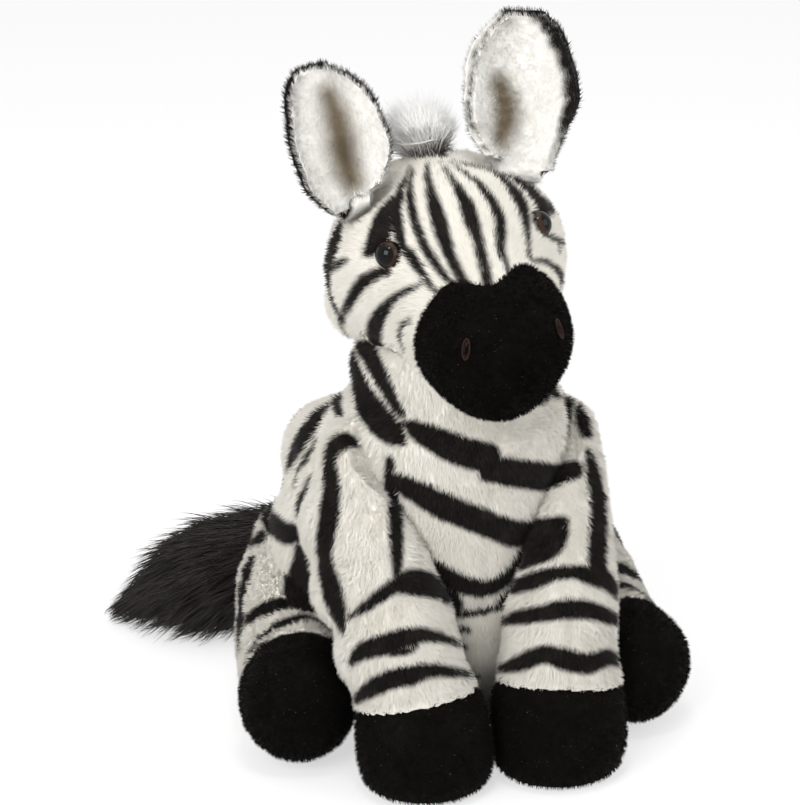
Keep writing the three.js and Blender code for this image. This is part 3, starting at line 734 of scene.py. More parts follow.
# %% Stripes of the neck, chest and flank
NECK_STRIPES = {
    "neck_front": [(333, 280, 2.1), (340, 299, 4.0), (370, 350, 5.0), (382, 375, 5.0), (393, 396, 4.0),
                   (403, 414, 1.4)],
    "neck_side": [(322, 275, 1.6), (333, 316, 5.1), (352, 356, 5.8), (362, 388, 6.4), (377, 413, 6.2),
                  (391, 430, 5.2), (403, 441, 1.8)],
    "neck_back": [(340, 379, 2.3), (339, 396, 3.5), (345, 425, 1.6)],
}
CHEST_STRIPES = {
    "upper_right": [(405, 422, 1.2), (418, 430, 3.7), (439, 441, 5.1), (461, 451, 5.6), (486, 458, 5.8)],
    "upper_left": [(492, 468, 5.8), (534, 475, 5.8), (553, 476, 5.4), (572, 470, 4.0)],
    "middle": [(398, 481, 4.2), (418, 491, 5.1), (442, 504, 5.8), (493, 525, 5.4), (517, 533, 5.6),
               (541, 530, 4.7), (563, 522, 2.3)],
    "lower": [(427, 556, 1.6), (439, 568, 3.5), (456, 581, 4.4), (476, 587, 4.0), (495, 584, 4.0),
              (512, 571, 3.7), (529, 554, 5.8), (546, 542, 7.0), (561, 530, 3.0)],
    "belly_upper": [(458, 613, 1.6), (478, 611, 1.6), (502, 605, 1.2)],
    "belly_lower": [(454, 629, 1.6), (468, 629, 0.9)],
    "throat": [(544, 396, 2.1), (539, 402, 1.2)],
    "collar": [(562, 383, 2.6), (568, 401, 1.9), (566, 423, 1.6), (565, 438, 0.9)],
    "shoulder": [(577, 406, 1.2), (582, 418, 2.6), (586, 433, 2.3)],
}
FLANK_STRIPES = {
    "first": [(330, 406, 2.6), (317, 418, 4.2), (305, 435, 4.9), (295, 455, 4.0), (290, 469, 1.6)],
    "second": [(317, 440, 0.7), (308, 457, 1.6), (301, 469, 1.4), (296, 486, 0.7)],
    "third": [(312, 476, 0.7), (306, 491, 1.9), (301, 505, 2.1), (299, 515, 0.9)],
    "rear": [(278, 452, 1.4), (271, 474, 3.2), (267, 498, 3.8), (273, 519, 5.0), (285, 531, 5.0),
             (299, 532, 3.8)],
    "rear_foot": [(264, 536, 2.8), (255, 544, 2.5), (249, 552, 1.2)],
}

# %% Stripes of the legs
FRONT_RIGHT_STRIPES = {
    "shoulder": [(358, 444, 1.6), (345, 441, 3.3), (335, 448, 4.0), (331, 464, 4.0), (333, 488, 4.7),
                 (326, 544, 4.0), (328, 573, 4.2), (335, 599, 4.7), (345, 631, 1.8)],
    "inner_edge": [(391, 460, 2.0), (392, 486, 3.2), (395, 520, 3.0), (396, 552, 2.6), (397, 578, 1.4)],
    "knee": [(349, 616, 0.9), (361, 610, 1.6), (376, 599, 2.4), (393, 587, 2.8), (410, 582, 5.1),
             (432, 587, 5.4), (449, 599, 4.7), (457, 612, 2.1)],
    "shin": [(352, 661, 1.5), (365, 650, 3.5), (385, 644, 4.1), (404, 638, 3.8), (428, 635, 2.4),
             (463, 646, 1.5)],
    "shin_spur": [(391, 652, 1.5), (407, 647, 2.6), (416, 643, 1.2)],
    "ankle": [(352, 704, 1.5), (370, 689, 3.2), (391, 679, 3.8), (410, 675, 3.8), (434, 670, 2.6),
              (476, 676, 1.5)],
}
FRONT_LEFT_STRIPES = {
    "outer": [(588, 453, 1.4), (592, 474, 3.7), (597, 498, 4.9), (598, 520, 4.9), (597, 568, 4.7),
              (609, 585, 4.0), (620, 602, 2.1)],
    "knee": [(500, 600, 1.9), (514, 588, 3.0), (534, 581, 3.5), (553, 574, 2.8), (573, 572, 2.6),
             (592, 576, 4.0), (607, 582, 3.5)],
    "shin": [(505, 621, 1.5), (520, 617, 2.9), (544, 613, 3.2), (569, 609, 3.8), (593, 611, 3.5),
             (618, 621, 2.6)],
    "ankle": [(500, 669, 1.5), (520, 663, 3.2), (544, 654, 3.5), (566, 659, 4.1), (587, 663, 4.1),
              (606, 657, 3.5), (623, 666, 2.6)],
}
HAUNCH_STRIPES = {
    "rear_foot": [(264, 536, 2.8), (255, 544, 2.5), (249, 552, 1.2)],
    "edge": [(253, 560, 2.4), (248, 574, 3.8), (244, 605, 4.6), (242, 632, 3.4), (242, 649, 1.2)],
    "front": [(301, 543, 2.0), (303, 563, 5.2), (301, 584, 7.0), (305, 598, 6.6), (319, 606, 3.0)],
    "base": [(250, 620, 3.1), (262, 612, 3.4), (278, 605, 3.4), (295, 603, 3.0), (314, 606, 2.0)],
    "upper_arc": [(253, 650, 1.0), (262, 639, 1.7), (276, 628, 2.1), (291, 621, 2.1), (309, 619, 2.0),
                  (331, 632, 1.5)],
    "lower_arc": [(248, 661, 0.7), (255, 650, 1.0), (273, 641, 0.8), (307, 635, 1.5), (324, 640, 2.0)],
}

# %% Stripes of the back, which the photograph doesn't show
BACK_BANDS = [  # height at the spine, fall to the flank, half width, all in millimetres, and where it waves
    (182, 14, 4.4, 1.6), (156, 20, 5.0, 3.1), (129, 24, 5.4, 4.4), (102, 26, 5.0, 5.9), (75, 24, 4.4, 1.1),
]
NAPE_STRIPES = [(-84, 3.6), (-56, 3.4), (-30, 3.0), (-9, 2.6), (12, 2.8), (34, 3.2), (60, 3.6), (88, 3.4)]
BAND_REACH = 118  # degrees from straight back
BAND_PLACES = 150
BAND_WAVE, BAND_WAVES = 2.5, 3.4  # how far a band waves, in millimetres, and how often
NAPE_TOP, NAPE_BOTTOM = 62, -34  # degrees above straight back, seen from the head's middle
END_TAPER = 0.75
BODY_MIDDLE = 0 * MM
OUTSIDE = 0.3

# %% Lay the stripes on their forms
STRIPE_ATTRIBUTE = "stripe_mm"
STRIPE_SPREAD = 1.3
FACE_SPREAD = 1.18
SHOWN_DEPTH = 9 * MM
HIDDEN_DEPTH = 8 * MM


def widened(marks, spread=STRIPE_SPREAD):
    return [(x, y, half * spread) for x, y, half in marks]


def lines_on(skin, stripes, spread=STRIPE_SPREAD):
    return [drawn_on(skin, widened(marks, spread)) for marks in stripes.values()]


def lines_over(names, stripes):
    """Stripes that cross from form to form: each stretch goes on every form that shows there, or nearly."""
    lines = {name: [] for name in names}
    for marks in stripes.values():
        path = smooth_path(widened(marks))
        rays = [photo_ray(pixel) for pixel in path[:, :2]]
        found = {name: [skins[name].tree.ray_cast(view_eye, ray)[0] for ray in rays] for name in names}
        far = np.array([[1e3 if place is None else (place - view_eye).length for place in found[name]]
                        for name in names])
        for name, depths in zip(names, far):
            shown = np.flatnonzero((depths <= far.min(axis=0) + SHOWN_DEPTH) & (depths < 1e3))
            if len(shown):
                places = np.array([found[name][index] for index in shown])
                lines[name].append(np.hstack([places, path[shown, 2:3] * MM]))
    return lines


def mirrored(skin, lines, place, square):
    """The same lines on the other side of a plane through place, laid back on the skin."""
    square = np.array(square) / np.linalg.norm(square)
    copies = []
    for line in lines:
        points = line[:, :3]
        points = points - 2 * ((points - place) @ square)[:, None] * square
        copies.append(np.hstack([skin.nearest(points), line[:, 3:]]))
    return copies


def unseen(lines):
    """The stretches that the photograph doesn't show, because something stands in front of them."""
    kept = []
    for line in lines:
        hidden = np.zeros(len(line), dtype=bool)
        for number, place in enumerate(line[:, :3]):
            ray = Vector(place) - view_eye
            hits = [skin.tree.ray_cast(view_eye, ray.normalized())[3] for skin in skins.values()]
            nearest = min(hit for hit in hits + [1e3] if hit is not None)
            hidden[number] = nearest < ray.length - HIDDEN_DEPTH
        if hidden.any():
            kept.append(line[hidden])
    return kept


def turned_to_back(skin, lines):
    """Lines repeated on the side of a limb that the camera doesn't see."""
    middle = skin.points.mean(axis=0)
    along = np.linalg.svd(skin.points - middle, full_matrices=False)[2][0]
    facing = np.array(view_back)
    return unseen(mirrored(skin, lines, middle, facing - (facing @ along) * along))


def paint(piece, points, lines):
    """Stores how far each point is outside the nearest stripe, in millimetres, less than 0 inside it."""
    layer = piece.data.attributes.new(STRIPE_ATTRIBUTE, "FLOAT", "POINT")
    values = distance_to(points, np.vstack(lines)) / MM
    layer.data.foreach_set("value", values.astype(np.float32))
    return values


stripe_lines = {}
SHOWN_FORMS = ["body_plush", "front_leg_plush_right", "front_leg_plush_left", "hind_leg_plush_right"]
shown = {
    "chest": lines_over(SHOWN_FORMS, CHEST_STRIPES),
    "flank": lines_over(SHOWN_FORMS, FLANK_STRIPES),
    "right": lines_over(SHOWN_FORMS, FRONT_RIGHT_STRIPES),
    "left": lines_over(SHOWN_FORMS, FRONT_LEFT_STRIPES),
    "haunch": lines_over(SHOWN_FORMS, HAUNCH_STRIPES),
}


def shown_on(name, *groups):
    return [line for group in groups for line in shown[group][name]]


def traced(skin, centres, ways, half):
    """A stripe where rays that come from around the form to the centres meet it. It tapers to both ends."""
    hits = [skin.tree.ray_cast(Vector(centre + way * OUTSIDE), Vector(-way))[0]
            for centre, way in zip(centres, ways)]
    met = [number for number, hit in enumerate(hits) if hit is not None]
    halves = half * MM * (1 - END_TAPER * np.linspace(-1, 1, len(ways)) ** 4)
    return np.hstack([np.array([hits[number] for number in met]), halves[met, None]])


def band_round(skin, spine, drop, half, phase):
    """A band across the back at height spine, that falls by drop to each flank and waves a little."""
    turn = np.radians(np.linspace(-BAND_REACH, BAND_REACH, BAND_PLACES))
    ways = np.stack([np.sin(turn), np.cos(turn), 0 * turn], axis=1)
    height = spine - drop * (turn / turn[-1]) ** 2 + BAND_WAVE * np.sin(BAND_WAVES * turn + phase)
    centres = np.stack([0 * turn, 0 * turn + BODY_MIDDLE, height * MM], axis=1)
    return traced(skin, centres, ways, half)


def nape_stripe(turn, half):
    """A stripe over the back of the head, from the crown down to the nape."""
    rise = np.radians(np.linspace(NAPE_TOP, NAPE_BOTTOM, BAND_PLACES))[:, None]
    side = -muzzle_ahead * math.cos(turn) + head_across * math.sin(turn)
    ways = np.sin(rise) * head_up + np.cos(rise) * side
    return traced(head, np.tile(head_middle, (BAND_PLACES, 1)), ways, half)


chest = shown_on("body_plush", "chest")
flank = shown_on("body_plush", "flank", "haunch")
neck = lines_on(body, NECK_STRIPES)
necks = neck + unseen(mirrored(body, neck, (0, 0, 0), (1, 0, 0)))
bands = [band_round(body, *band) for band in BACK_BANDS]
stripe_lines["body_plush"] = chest + flank + necks + unseen(bands) + shown_on("body_plush", "right", "left")

forehead = lines_on(head, FACE_STRIPES, FACE_SPREAD)
cheek = lines_on(head, CHEEK_STRIPES, FACE_SPREAD)
cheeks = cheek + unseen(mirrored(head, cheek, NECK_CENTRE, head_across))
head_middle = head.points.mean(axis=0) - 0.012 * muzzle_ahead
nape = [nape_stripe(math.radians(turn), half) for turn, half in NAPE_STRIPES]
stripe_lines["head_plush"] = forehead + cheeks + unseen(nape)

for side in SIDES:
    leg = skins[f"front_leg_plush_{side}"]
    lines = shown_on(leg.piece.name, "right", "left")
    stripe_lines[leg.piece.name] = (
        lines + turned_to_back(leg, lines) + shown_on(leg.piece.name, "chest", "flank", "haunch")
    )
haunch = skins["hind_leg_plush_right"]
haunch_lines = shown_on("hind_leg_plush_right", "haunch", "flank")
stripe_lines["hind_leg_plush_right"] = (
    haunch_lines + turned_to_back(haunch, haunch_lines) + shown_on("hind_leg_plush_right", "right")
)
other_haunch = skins["hind_leg_plush_left"]
stripe_lines["hind_leg_plush_left"] = mirrored(
    other_haunch, stripe_lines["hind_leg_plush_right"], (0, 0, 0), (1, 0, 0)
)
stripe_values = {name: paint(forms[name], skins[name].points, lines) for name, lines in stripe_lines.items()}
print("stripe lines:", {name: len(lines) for name, lines in stripe_lines.items()})

# %% [markdown]
# ## Finishes
#
# A finish is a small net of nodes. The class below only shortens how a node is added and joined, so that
# each finish reads as a list of what the cloth shows: its colour, how that colour varies, and how the
# fibre takes the light. Colours are placed with Object coordinates, which every piece shares.

# %% A short way to write nodes
class Finish:
    def __init__(self, name):
        self.material = bpy.data.materials.new(name)
        self.material.use_nodes = True
        self.nodes, self.links = self.material.node_tree.nodes, self.material.node_tree.links
        self.shader = self.nodes["Principled BSDF"]
        self.place = self.nodes.new("ShaderNodeTexCoord").outputs["Object"]

    def node(self, kind, inputs, **settings):
        node = self.nodes.new("ShaderNode" + kind)
        for key, value in settings.items():
            setattr(node, key, value)
        for key, value in inputs.items():
            self.join(value, node.inputs[key])
        return node

    def join(self, value, socket):
        if isinstance(value, bpy.types.NodeSocket):
            self.links.new(value, socket)
        else:
            socket.default_value = value

    def noise(self, size_mm, detail=3.0, roughness=0.55):
        """Noise from 0 to 1 whose patches are about size_mm across."""
        scale = 1 / (size_mm * MM)
        inputs = {"Vector": self.place, "Scale": scale, "Detail": detail, "Roughness": roughness}
        return self.node("TexNoise", inputs).outputs["Fac"]

    def attribute(self, name):
        return self.node("Attribute", {}, attribute_name=name).outputs["Fac"]

    def maths(self, operation, first, second):
        return self.node("Math", {0: first, 1: second}, operation=operation).outputs[0]

    def between(self, value, low, high, to_low=0.0, to_high=1.0):
        inputs = {"Value": value, "From Min": low, "From Max": high, "To Min": to_low, "To Max": to_high}
        return self.node("MapRange", inputs, interpolation_type="SMOOTHSTEP").outputs["Result"]

    def mix(self, amount, first, second, blend="MIX"):
        inputs = {"Factor": amount, 6: first, 7: second}
        return self.node("Mix", inputs, data_type="RGBA", blend_type=blend).outputs[2]

    def grey(self, value):
        return self.node("CombineColor", {"Red": value, "Green": value, "Blue": value}).outputs["Color"]

    def surface(self, **values):
        for key, value in values.items():
            self.join(value, self.shader.inputs[key.replace("_", " ")])
        return self.material


# %% Striped plush
CREAM = (0.94, 0.905, 0.83, 1)
SHADED_CREAM = (0.87, 0.83, 0.74, 1)
SOOT = (0.0065, 0.0055, 0.005, 1)
WORN_SOOT = (0.032, 0.026, 0.022, 1)
TONE_ATTRIBUTE = "fibre_tone"
TIP_ATTRIBUTE = "fibre_tip"


def plush_colour(finish, light=CREAM, shaded=SHADED_CREAM, soft_edge=1.7):
    """Cream fibre with black stripes, ragged where they meet, with painted shade a little darker towards the
    root.
    """
    tone = finish.attribute(TONE_ATTRIBUTE)
    ragged = finish.maths("MULTIPLY", finish.maths("SUBTRACT", finish.noise(4.0), 0.5), 1.8)
    stray = finish.maths("MULTIPLY", finish.maths("SUBTRACT", tone, 0.5), 1.0)
    edge = finish.maths("ADD", finish.attribute(STRIPE_ATTRIBUTE), finish.maths("ADD", ragged, stray))
    cream = finish.mix(finish.between(finish.noise(22), 0.35, 0.7), light, shaded)
    cream = finish.mix(finish.maths("MULTIPLY", tone, 0.35), cream, shaded)
    worn = finish.between(finish.noise(9), 0.45, 0.8)
    soot = finish.mix(finish.maths("MULTIPLY", finish.maths("ADD", worn, tone), 0.45), SOOT, WORN_SOOT)
    colour = finish.mix(finish.between(edge, -soft_edge, soft_edge), soot, cream)
    # Painted shade: each fibre is darker towards its root, where the pile around it would shade it.
    root = finish.between(finish.attribute(TIP_ATTRIBUTE), 0.0, 0.8, 0.88, 1.0)
    return finish.mix(1.0, colour, finish.grey(root), "MULTIPLY")


def striped_plush():
    finish = Finish("striped_plush")
    return finish.surface(
        Base_Color=plush_colour(finish), Roughness=0.85, Specular_IOR_Level=0.12, Sheen_Weight=0.08,
        Sheen_Roughness=0.45,
    )


def black_velour():
    finish = Finish("black_velour")
    tone = finish.attribute(TONE_ATTRIBUTE)
    patch = finish.between(finish.noise(14), 0.4, 0.75)
    colour = finish.mix(finish.maths("MULTIPLY", finish.maths("ADD", patch, tone), 0.4),
                        (0.0022, 0.0018, 0.0014, 1), (0.0075, 0.0062, 0.0052, 1))
    speck = finish.between(finish.noise(0.9, 1.0), 0.74, 0.80)
    colour = finish.mix(finish.maths("MULTIPLY", speck, 0.5), colour, (0.16, 0.145, 0.13, 1))
    return finish.surface(
        Base_Color=colour, Roughness=0.8, Specular_IOR_Level=0.05, Sheen_Weight=0.01, Sheen_Roughness=0.4
    )


plush, velour = striped_plush(), black_velour()
for name, piece in forms.items():
    piece.data.materials.append(plush)
for name, piece in covers.items():
    piece.data.materials.clear()
    piece.data.materials.append(velour)
print("finishes:", plush.name, velour.name)

# %% [markdown]
# ## Pile
#
# Plush is a forest of short fibres. Here each tuft is one slim three-sided spike of three triangles, so
# half a million of them stay affordable. Roots are scattered evenly over the cloth, each spike leans along
# the nap, and a slow wave turns neighbours the same way, which gives the small partings of brushed fur. A
# spike keeps the stripe value of its root and is shaded mostly like the cloth under it, so the pile looks
# soft and not prickly.

# %% Scatter roots over a skin
def triangles_of(mesh):
    mesh.calc_loop_triangles()
    flat = np.empty(3 * len(mesh.loop_triangles), dtype=np.int32)
    mesh.loop_triangles.foreach_get("vertices", flat)
    return flat.reshape(-1, 3)


def scatter(skin, count, bare, rng):
    """Random roots on a skin, evenly by area, as corner numbers and their shares. Bare points grow none."""
    corners = triangles_of(skin.piece.data)
    corners = corners[~bare[corners].any(axis=1)]
    a, b, c = (skin.points[corners[:, k]] for k in range(3))
    areas = np.linalg.norm(np.cross(b - a, c - a), axis=1)
    chosen = corners[rng.choice(len(corners), count, p=areas / areas.sum())]
    first, second = np.sqrt(rng.random(count)), rng.random(count)
    return chosen, np.stack([1 - first, first * (1 - second), first * second], axis=1)


def spread(values, chosen, shares):
    """Values of a skin's points carried to the roots."""
    picked = values[chosen]
    weights = shares if values.ndim == 1 else shares[:, :, None]
    return (picked * weights).sum(axis=1)


def unit(vectors):
    return vectors / np.maximum(np.linalg.norm(vectors, axis=1, keepdims=True), 1e-12)


def slow_wave(points, size, rng, waves=6):
    """A smooth random direction at each point, which turns over about the given size."""
    total = np.zeros_like(points)
    for _ in range(waves):
        axis = rng.normal(size=3)
        phase = points @ (axis / np.linalg.norm(axis)) * (2 * math.pi / size) + rng.random() * 6.3
        total += np.sin(phase)[:, None] * rng.normal(size=3)
    return total / math.sqrt(waves)


# %% Make one pile from its roots
PRINT_DEPTH = 0.8


def new_mesh_piece(name, points, faces, sharp=False):
    """A mesh object from arrays of points and of triangles or four-sided faces."""
    mesh = bpy.data.meshes.new(name)
    mesh.vertices.add(len(points))
    mesh.vertices.foreach_set("co", points.astype(np.float32).ravel())
    mesh.loops.add(faces.size)
    mesh.loops.foreach_set("vertex_index", faces.astype(np.int32).ravel())
    mesh.polygons.add(len(faces))
    mesh.polygons.foreach_set("loop_start", np.arange(0, faces.size, faces.shape[1], dtype=np.int32))
    mesh.update(calc_edges=True)
    mesh.polygons.foreach_set("use_smooth", np.full(len(faces), not sharp))
    piece = bpy.data.objects.new(name, mesh)
    bpy.context.scene.collection.objects.link(piece)
    return piece


def store(piece, name, values):
    layer = piece.data.attributes.new(name, "FLOAT", "POINT")
    layer.data.foreach_set("value", np.asarray(values, dtype=np.float32))


def slope_of(values, points, chosen):
    """How fast the values change across each chosen triangle, and which way."""
    first, second = (points[chosen[:, k]] - points[chosen[:, 0]] for k in (1, 2))
    rise, other_rise = (values[chosen[:, k]] - values[chosen[:, 0]] for k in (1, 2))
    square = np.cross(first, second)
    total = np.cross(second, square) * rise[:, None] + np.cross(square, first) * other_rise[:, None]
    return total / np.maximum(np.sum(square**2, axis=1), 1e-24)[:, None]


def pile_piece(name, roots, outward, direction, length, width, stripe, slope, rng, softness=0.85):
    """Three-sided spikes on their roots, in one mesh. A tip has the print's value at its own place."""
    count = len(roots)
    side = unit(np.cross(direction, rng.normal(size=(count, 3))))
    other = np.cross(direction, side)
    reach = (length * rng.uniform(0.72, 1.12, count))[:, None]
    turn = 2 * math.pi / 3
    corners = [
        roots + (side * math.cos(k * turn) + other * math.sin(k * turn)) * width / 2 - outward * 0.3 * MM
        for k in range(3)
    ]
    points = np.stack(corners + [roots + direction * reach], axis=1).reshape(-1, 3)
    points[:, 2] = np.maximum(points[:, 2], FLOOR_GAP)
    start = (np.arange(count) * 4)[:, None]
    faces = np.concatenate([start + [0, 1, 3], start + [1, 2, 3], start + [2, 0, 3]])
    piece = new_mesh_piece(name, points, faces)
    printed = np.repeat(stripe, 4)
    printed[3::4] += np.sum(slope * direction * reach, axis=1) * PRINT_DEPTH
    store(piece, STRIPE_ATTRIBUTE, printed)
    store(piece, TONE_ATTRIBUTE, np.repeat(rng.random(count), 4))
    store(piece, TIP_ATTRIBUTE, np.tile([0.0, 0.0, 0.0, 1.0], count))
    flat = np.empty(3 * len(points))
    piece.data.vertices.foreach_get("normal", flat)
    cloth = np.repeat(unit(outward), 4, axis=0)
    shading = unit(cloth * softness + flat.reshape(-1, 3) * (1 - softness))
    piece.data.normals_split_custom_set_from_vertices(shading.astype(np.float32))
    return piece


# %% Grow piles on the plush and velour
PLUSH_LENGTH = 4.3 * MM
PLUSH_WIDTH = 0.6 * MM
FLOOR_GAP = 0.3 * MM  # fibres that would go into the floor are pressed flat on it
VELOUR_LENGTH = 2.2 * MM
VELOUR_WIDTH = 0.5 * MM
CLUMP_SIZE = 9 * MM
TUFT_SIZE = 3.2 * MM
UNDER_MUZZLE = 2 * MM  # the plush runs on this far under the muzzle's velour
BEFORE_HOOF = -2.5 * MM  # and stops this far before a hoof, so that no fibre lies over its edge
DOWN = np.array((0.0, 0.0, -1.0))


def grow(name, skin, count, bare, nap, material, stripe, seed, length=PLUSH_LENGTH, width=PLUSH_WIDTH,
         lean=0.95, parting=0.4, extras=None):
    """A pile whose spikes stand off the skin, lean along the nap and part a little. Extras are more values
    of the skin's points that the spikes keep."""
    rng = np.random.default_rng(seed)
    chosen, shares = scatter(skin, count, bare, rng)
    roots, outward = spread(skin.points, chosen, shares), unit(spread(skin.normals, chosen, shares))
    flow = np.broadcast_to(nap, roots.shape) if np.ndim(nap) == 1 else spread(nap, chosen, shares)
    flow = unit(flow - np.sum(flow * outward, axis=1, keepdims=True) * outward + 1e-6)
    wander = slow_wave(roots, CLUMP_SIZE, rng) + slow_wave(roots, TUFT_SIZE, rng)
    direction = unit(outward + flow * lean + wander * parting / 2 + rng.normal(size=roots.shape) * 0.16)
    piece = pile_piece(name, roots, outward, direction, length, width, spread(stripe, chosen, shares),
                       slope_of(stripe, skin.points, chosen), rng)
    for extra, values in (extras or {}).items():
        store(piece, extra, np.repeat(spread(values, chosen, shares), 4))
    piece.data.materials.append(material)
    return piece


def inside_others(skin, others, margin=0.5 * MM):
    """Which points of a skin lie inside another form, where no pile grows."""
    buried = np.zeros(len(skin.points), dtype=bool)
    for other in others:
        low, high = other.points.min(axis=0) - 0.002, other.points.max(axis=0) + 0.002
        near = np.flatnonzero(((skin.points > low) & (skin.points < high)).all(axis=1))
        if len(near):
            deep = near[other.heights(skin.points[near])[0] < -margin]
            buried[deep[other.contains(skin.points[deep])]] = True
    return buried


bare = {}
for name, skin in skins.items():
    others = [other for other in skins.values() if other is not skin]
    bare[name] = inside_others(skin, others)
for name, ahead in hidden_by_cover.items():
    bare[name] |= ahead > (UNDER_MUZZLE if name == "head_plush" else BEFORE_HOOF)
PILES = {
    "body_plush": (3, 46000),
    "head_plush": (2, 44000),
    "front_leg_plush_left": (1, 38000),
    "front_leg_plush_right": (1, 38000),
    "hind_leg_plush_left": (1, 26000),
    "hind_leg_plush_right": (1, 26000),
}
piles = {}
for number, (name, (parts, count)) in enumerate(PILES.items()):
    skin = skins[name]
    nap = -muzzle_ahead * 0.8 + DOWN * 0.5 if name == "head_plush" else DOWN
    if "leg" in name:
        pair, side = name.split("_")[0], name.split("_")[-1]
        nap = hoof_seams[pair, side][1]
    for part in range(parts):
        pile_name = f"{name.replace('_plush', '')}_pile" + (f"_{part + 1}" if parts > 1 else "")
        piles[pile_name] = grow(pile_name, skin, count, bare[name], nap, plush, stripe_values[name],
                                seed=10 * number + part)
        piles[pile_name]["cloth"] = name
print("plush piles:", {name: len(piece.data.polygons) for name, piece in piles.items()})

# %% Grow the short velour
MUZZLE_SPIKES, HOOF_SPIKES = 16000, 7500
velour_piles = {}
for number, (name, cover) in enumerate(covers.items()):
    skin = Skin(cover)
    count = MUZZLE_SPIKES if name == "muzzle" else HOOF_SPIKES
    inner = np.arange(len(skin.points)) >= len(skin.points) // 2
    nap = hoof_seams[tuple(name.split("_hoof_"))][1] if "hoof" in name else muzzle_ahead
    pile_name = f"{name}_velour"
    velour_piles[pile_name] = grow(pile_name, skin, count, inner, nap, velour, np.ones(len(skin.points)),
                                   seed=100 + number, length=VELOUR_LENGTH, width=VELOUR_WIDTH, lean=0.5)
    velour_piles[pile_name]["cloth"] = name
print("velour piles:", len(velour_piles))

# %% [markdown]
# ## Ears
#
# Each ear is two cloths sewn round the edge: striped plush behind, white plush in front, with the seam's
# fibres standing out dark all round. The model's two nodes are melted together finely, and each point is
# dark or light by which of the two cloths it is nearer to. Down in the cup the lining gets a painted brownish
# shade, where the hollow shades it.

# %% Ear forms and their colours
RECESS_ATTRIBUTE = "recess_mm"
# Marks of the ear's cup, where the lining gets a painted brownish shade
RECESS = {
    "right": [(329, 96, 1.5), (338, 124, 3.5), (344, 158, 4.0), (352, 182, 3.0)],
    "left": [(499, 86, 2.5), (505, 105, 4.5), (504, 126, 4.0), (499, 140, 2.0)],
}
RIM_BAND = 8 * MM
OUTER_EDGE = {"right": 1.4, "left": 4.6}  # how far the dark edge shows on the front, in millimetres
INNER_EDGE = {"right": 0.5, "left": 0.85}  # how much narrower the dark band behind is on the inner side
LIGHT_ROOT = {"right": 4, "left": 20}  # an ear's root is lighter on its inner side
ROOT_PINCH = 0.5  # how much narrower an ear is at its root, on the side of the zebra's left
TIP_WIDENING = 0.22
ROOT_UP_TO, FULL_FROM, TIP_FROM = (0.03, 0.48), (0.1, 0.4), (0.6, 0.95)  # as shares of an ear's height
EAR_SPIKES = 16000
EAR_PILE = 3.0 * MM
EAR_FULLNESS = {"right": (0.86, 0.94), "left": (1.12, 1.05)}  # how much wider and longer an ear is stuffed


def node_tree(node):
    return BVHTree.FromObject(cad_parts[node], bpy.context.evaluated_depsgraph_get())


def ear_form(side):
    piece = melted_form(f"ear_{side}", [f"ear_back_{side}", f"ear_lining_{side}"], tuck=0.7 * MM,
                        voxel=1.8 * MM, smoothing=4)
    apply_modifier(piece, "SUBSURF", levels=1, render_levels=1)
    only(piece)
    bpy.ops.object.shade_smooth()
    skin = Skin(piece)
    back, lining = node_tree(f"ear_back_{side}"), node_tree(f"ear_lining_{side}")
    to_back = np.array([back.find_nearest(Vector(p))[3] for p in skin.points])
    to_lining = np.array([lining.find_nearest(Vector(p))[3] for p in skin.points])
    front = (to_back - to_lining) / MM
    wide, long = EAR_FULLNESS[side]
    root, tip = (skin.points[skin.points[:, 2].argsort()[picked]].mean(axis=0)
                 for picked in (slice(0, 60), slice(-60, None)))
    up = (tip - root) / np.linalg.norm(tip - root)
    across = head_across - (head_across @ up) * up
    across /= np.linalg.norm(across)
    height, reach = (skin.points - root) @ up, (skin.points - root) @ across
    share = height / height.max()
    fuller = (1 + (wide - 1) * ramp(share, *FULL_FROM)) * (1 + TIP_WIDENING * ramp(share, *TIP_FROM)) - 1
    fuller -= ROOT_PINCH * (1 - ramp(share, *ROOT_UP_TO)) * (reach > 0)
    skin.set_points(skin.points + np.outer(reach * fuller, across)
                    + np.outer(np.maximum(height, 0) * (long - 1), up))
    rim = skin.points[np.abs(front) < 0.4]
    from_rim = distance_to(skin.points, np.hstack([rim, np.zeros((len(rim), 1))]))
    behind = front < 0
    out_from_middle = (skin.points - skin.points.mean(axis=0)) @ head_across * (1 if side == "left" else -1)
    edge = 0.6 + OUTER_EDGE[side] * ramp(out_from_middle, 6 * MM, 24 * MM)
    band = RIM_BAND * (1 - INNER_EDGE[side] * (1 - ramp(out_from_middle, -6 * MM, 12 * MM)))
    value = np.where(behind, (from_rim - band) / MM, from_rim / MM - edge)
    above_root = skin.points[:, 2] - skin.points[:, 2].min()
    low = 1 - ramp(above_root, 22 * MM, 32 * MM)
    value += LIGHT_ROOT[side] * low * (1 - ramp(out_from_middle, -2 * MM, 6 * MM))
    layer = piece.data.attributes.new(STRIPE_ATTRIBUTE, "FLOAT", "POINT")
    layer.data.foreach_set("value", value.astype(np.float32))
    # How far each point is from the cup's painted shade; the back of the ear gets none
    cup_shade_mm = distance_to(skin.points, drawn_on(skin, RECESS[side])) / MM + 20 * behind
    store(piece, RECESS_ATTRIBUTE, cup_shade_mm)
    return skin, value, cup_shade_mm


def ear_plush():
    finish = Finish("ear_plush")
    # Painted shade: the lining darkens towards brown down in the cup, where its hollow is in shade
    cup_shade = finish.between(finish.attribute(RECESS_ATTRIBUTE), -3.5, 10.0)
    light = finish.mix(cup_shade, (0.20, 0.16, 0.105, 1), (0.93, 0.915, 0.87, 1))
    shaded = finish.mix(cup_shade, (0.13, 0.10, 0.065, 1), (0.86, 0.84, 0.785, 1))
    return finish.surface(
        Base_Color=plush_colour(finish, light, shaded, soft_edge=2.4), Roughness=0.85,
        Specular_IOR_Level=0.12, Sheen_Weight=0.08, Sheen_Roughness=0.45,
    )


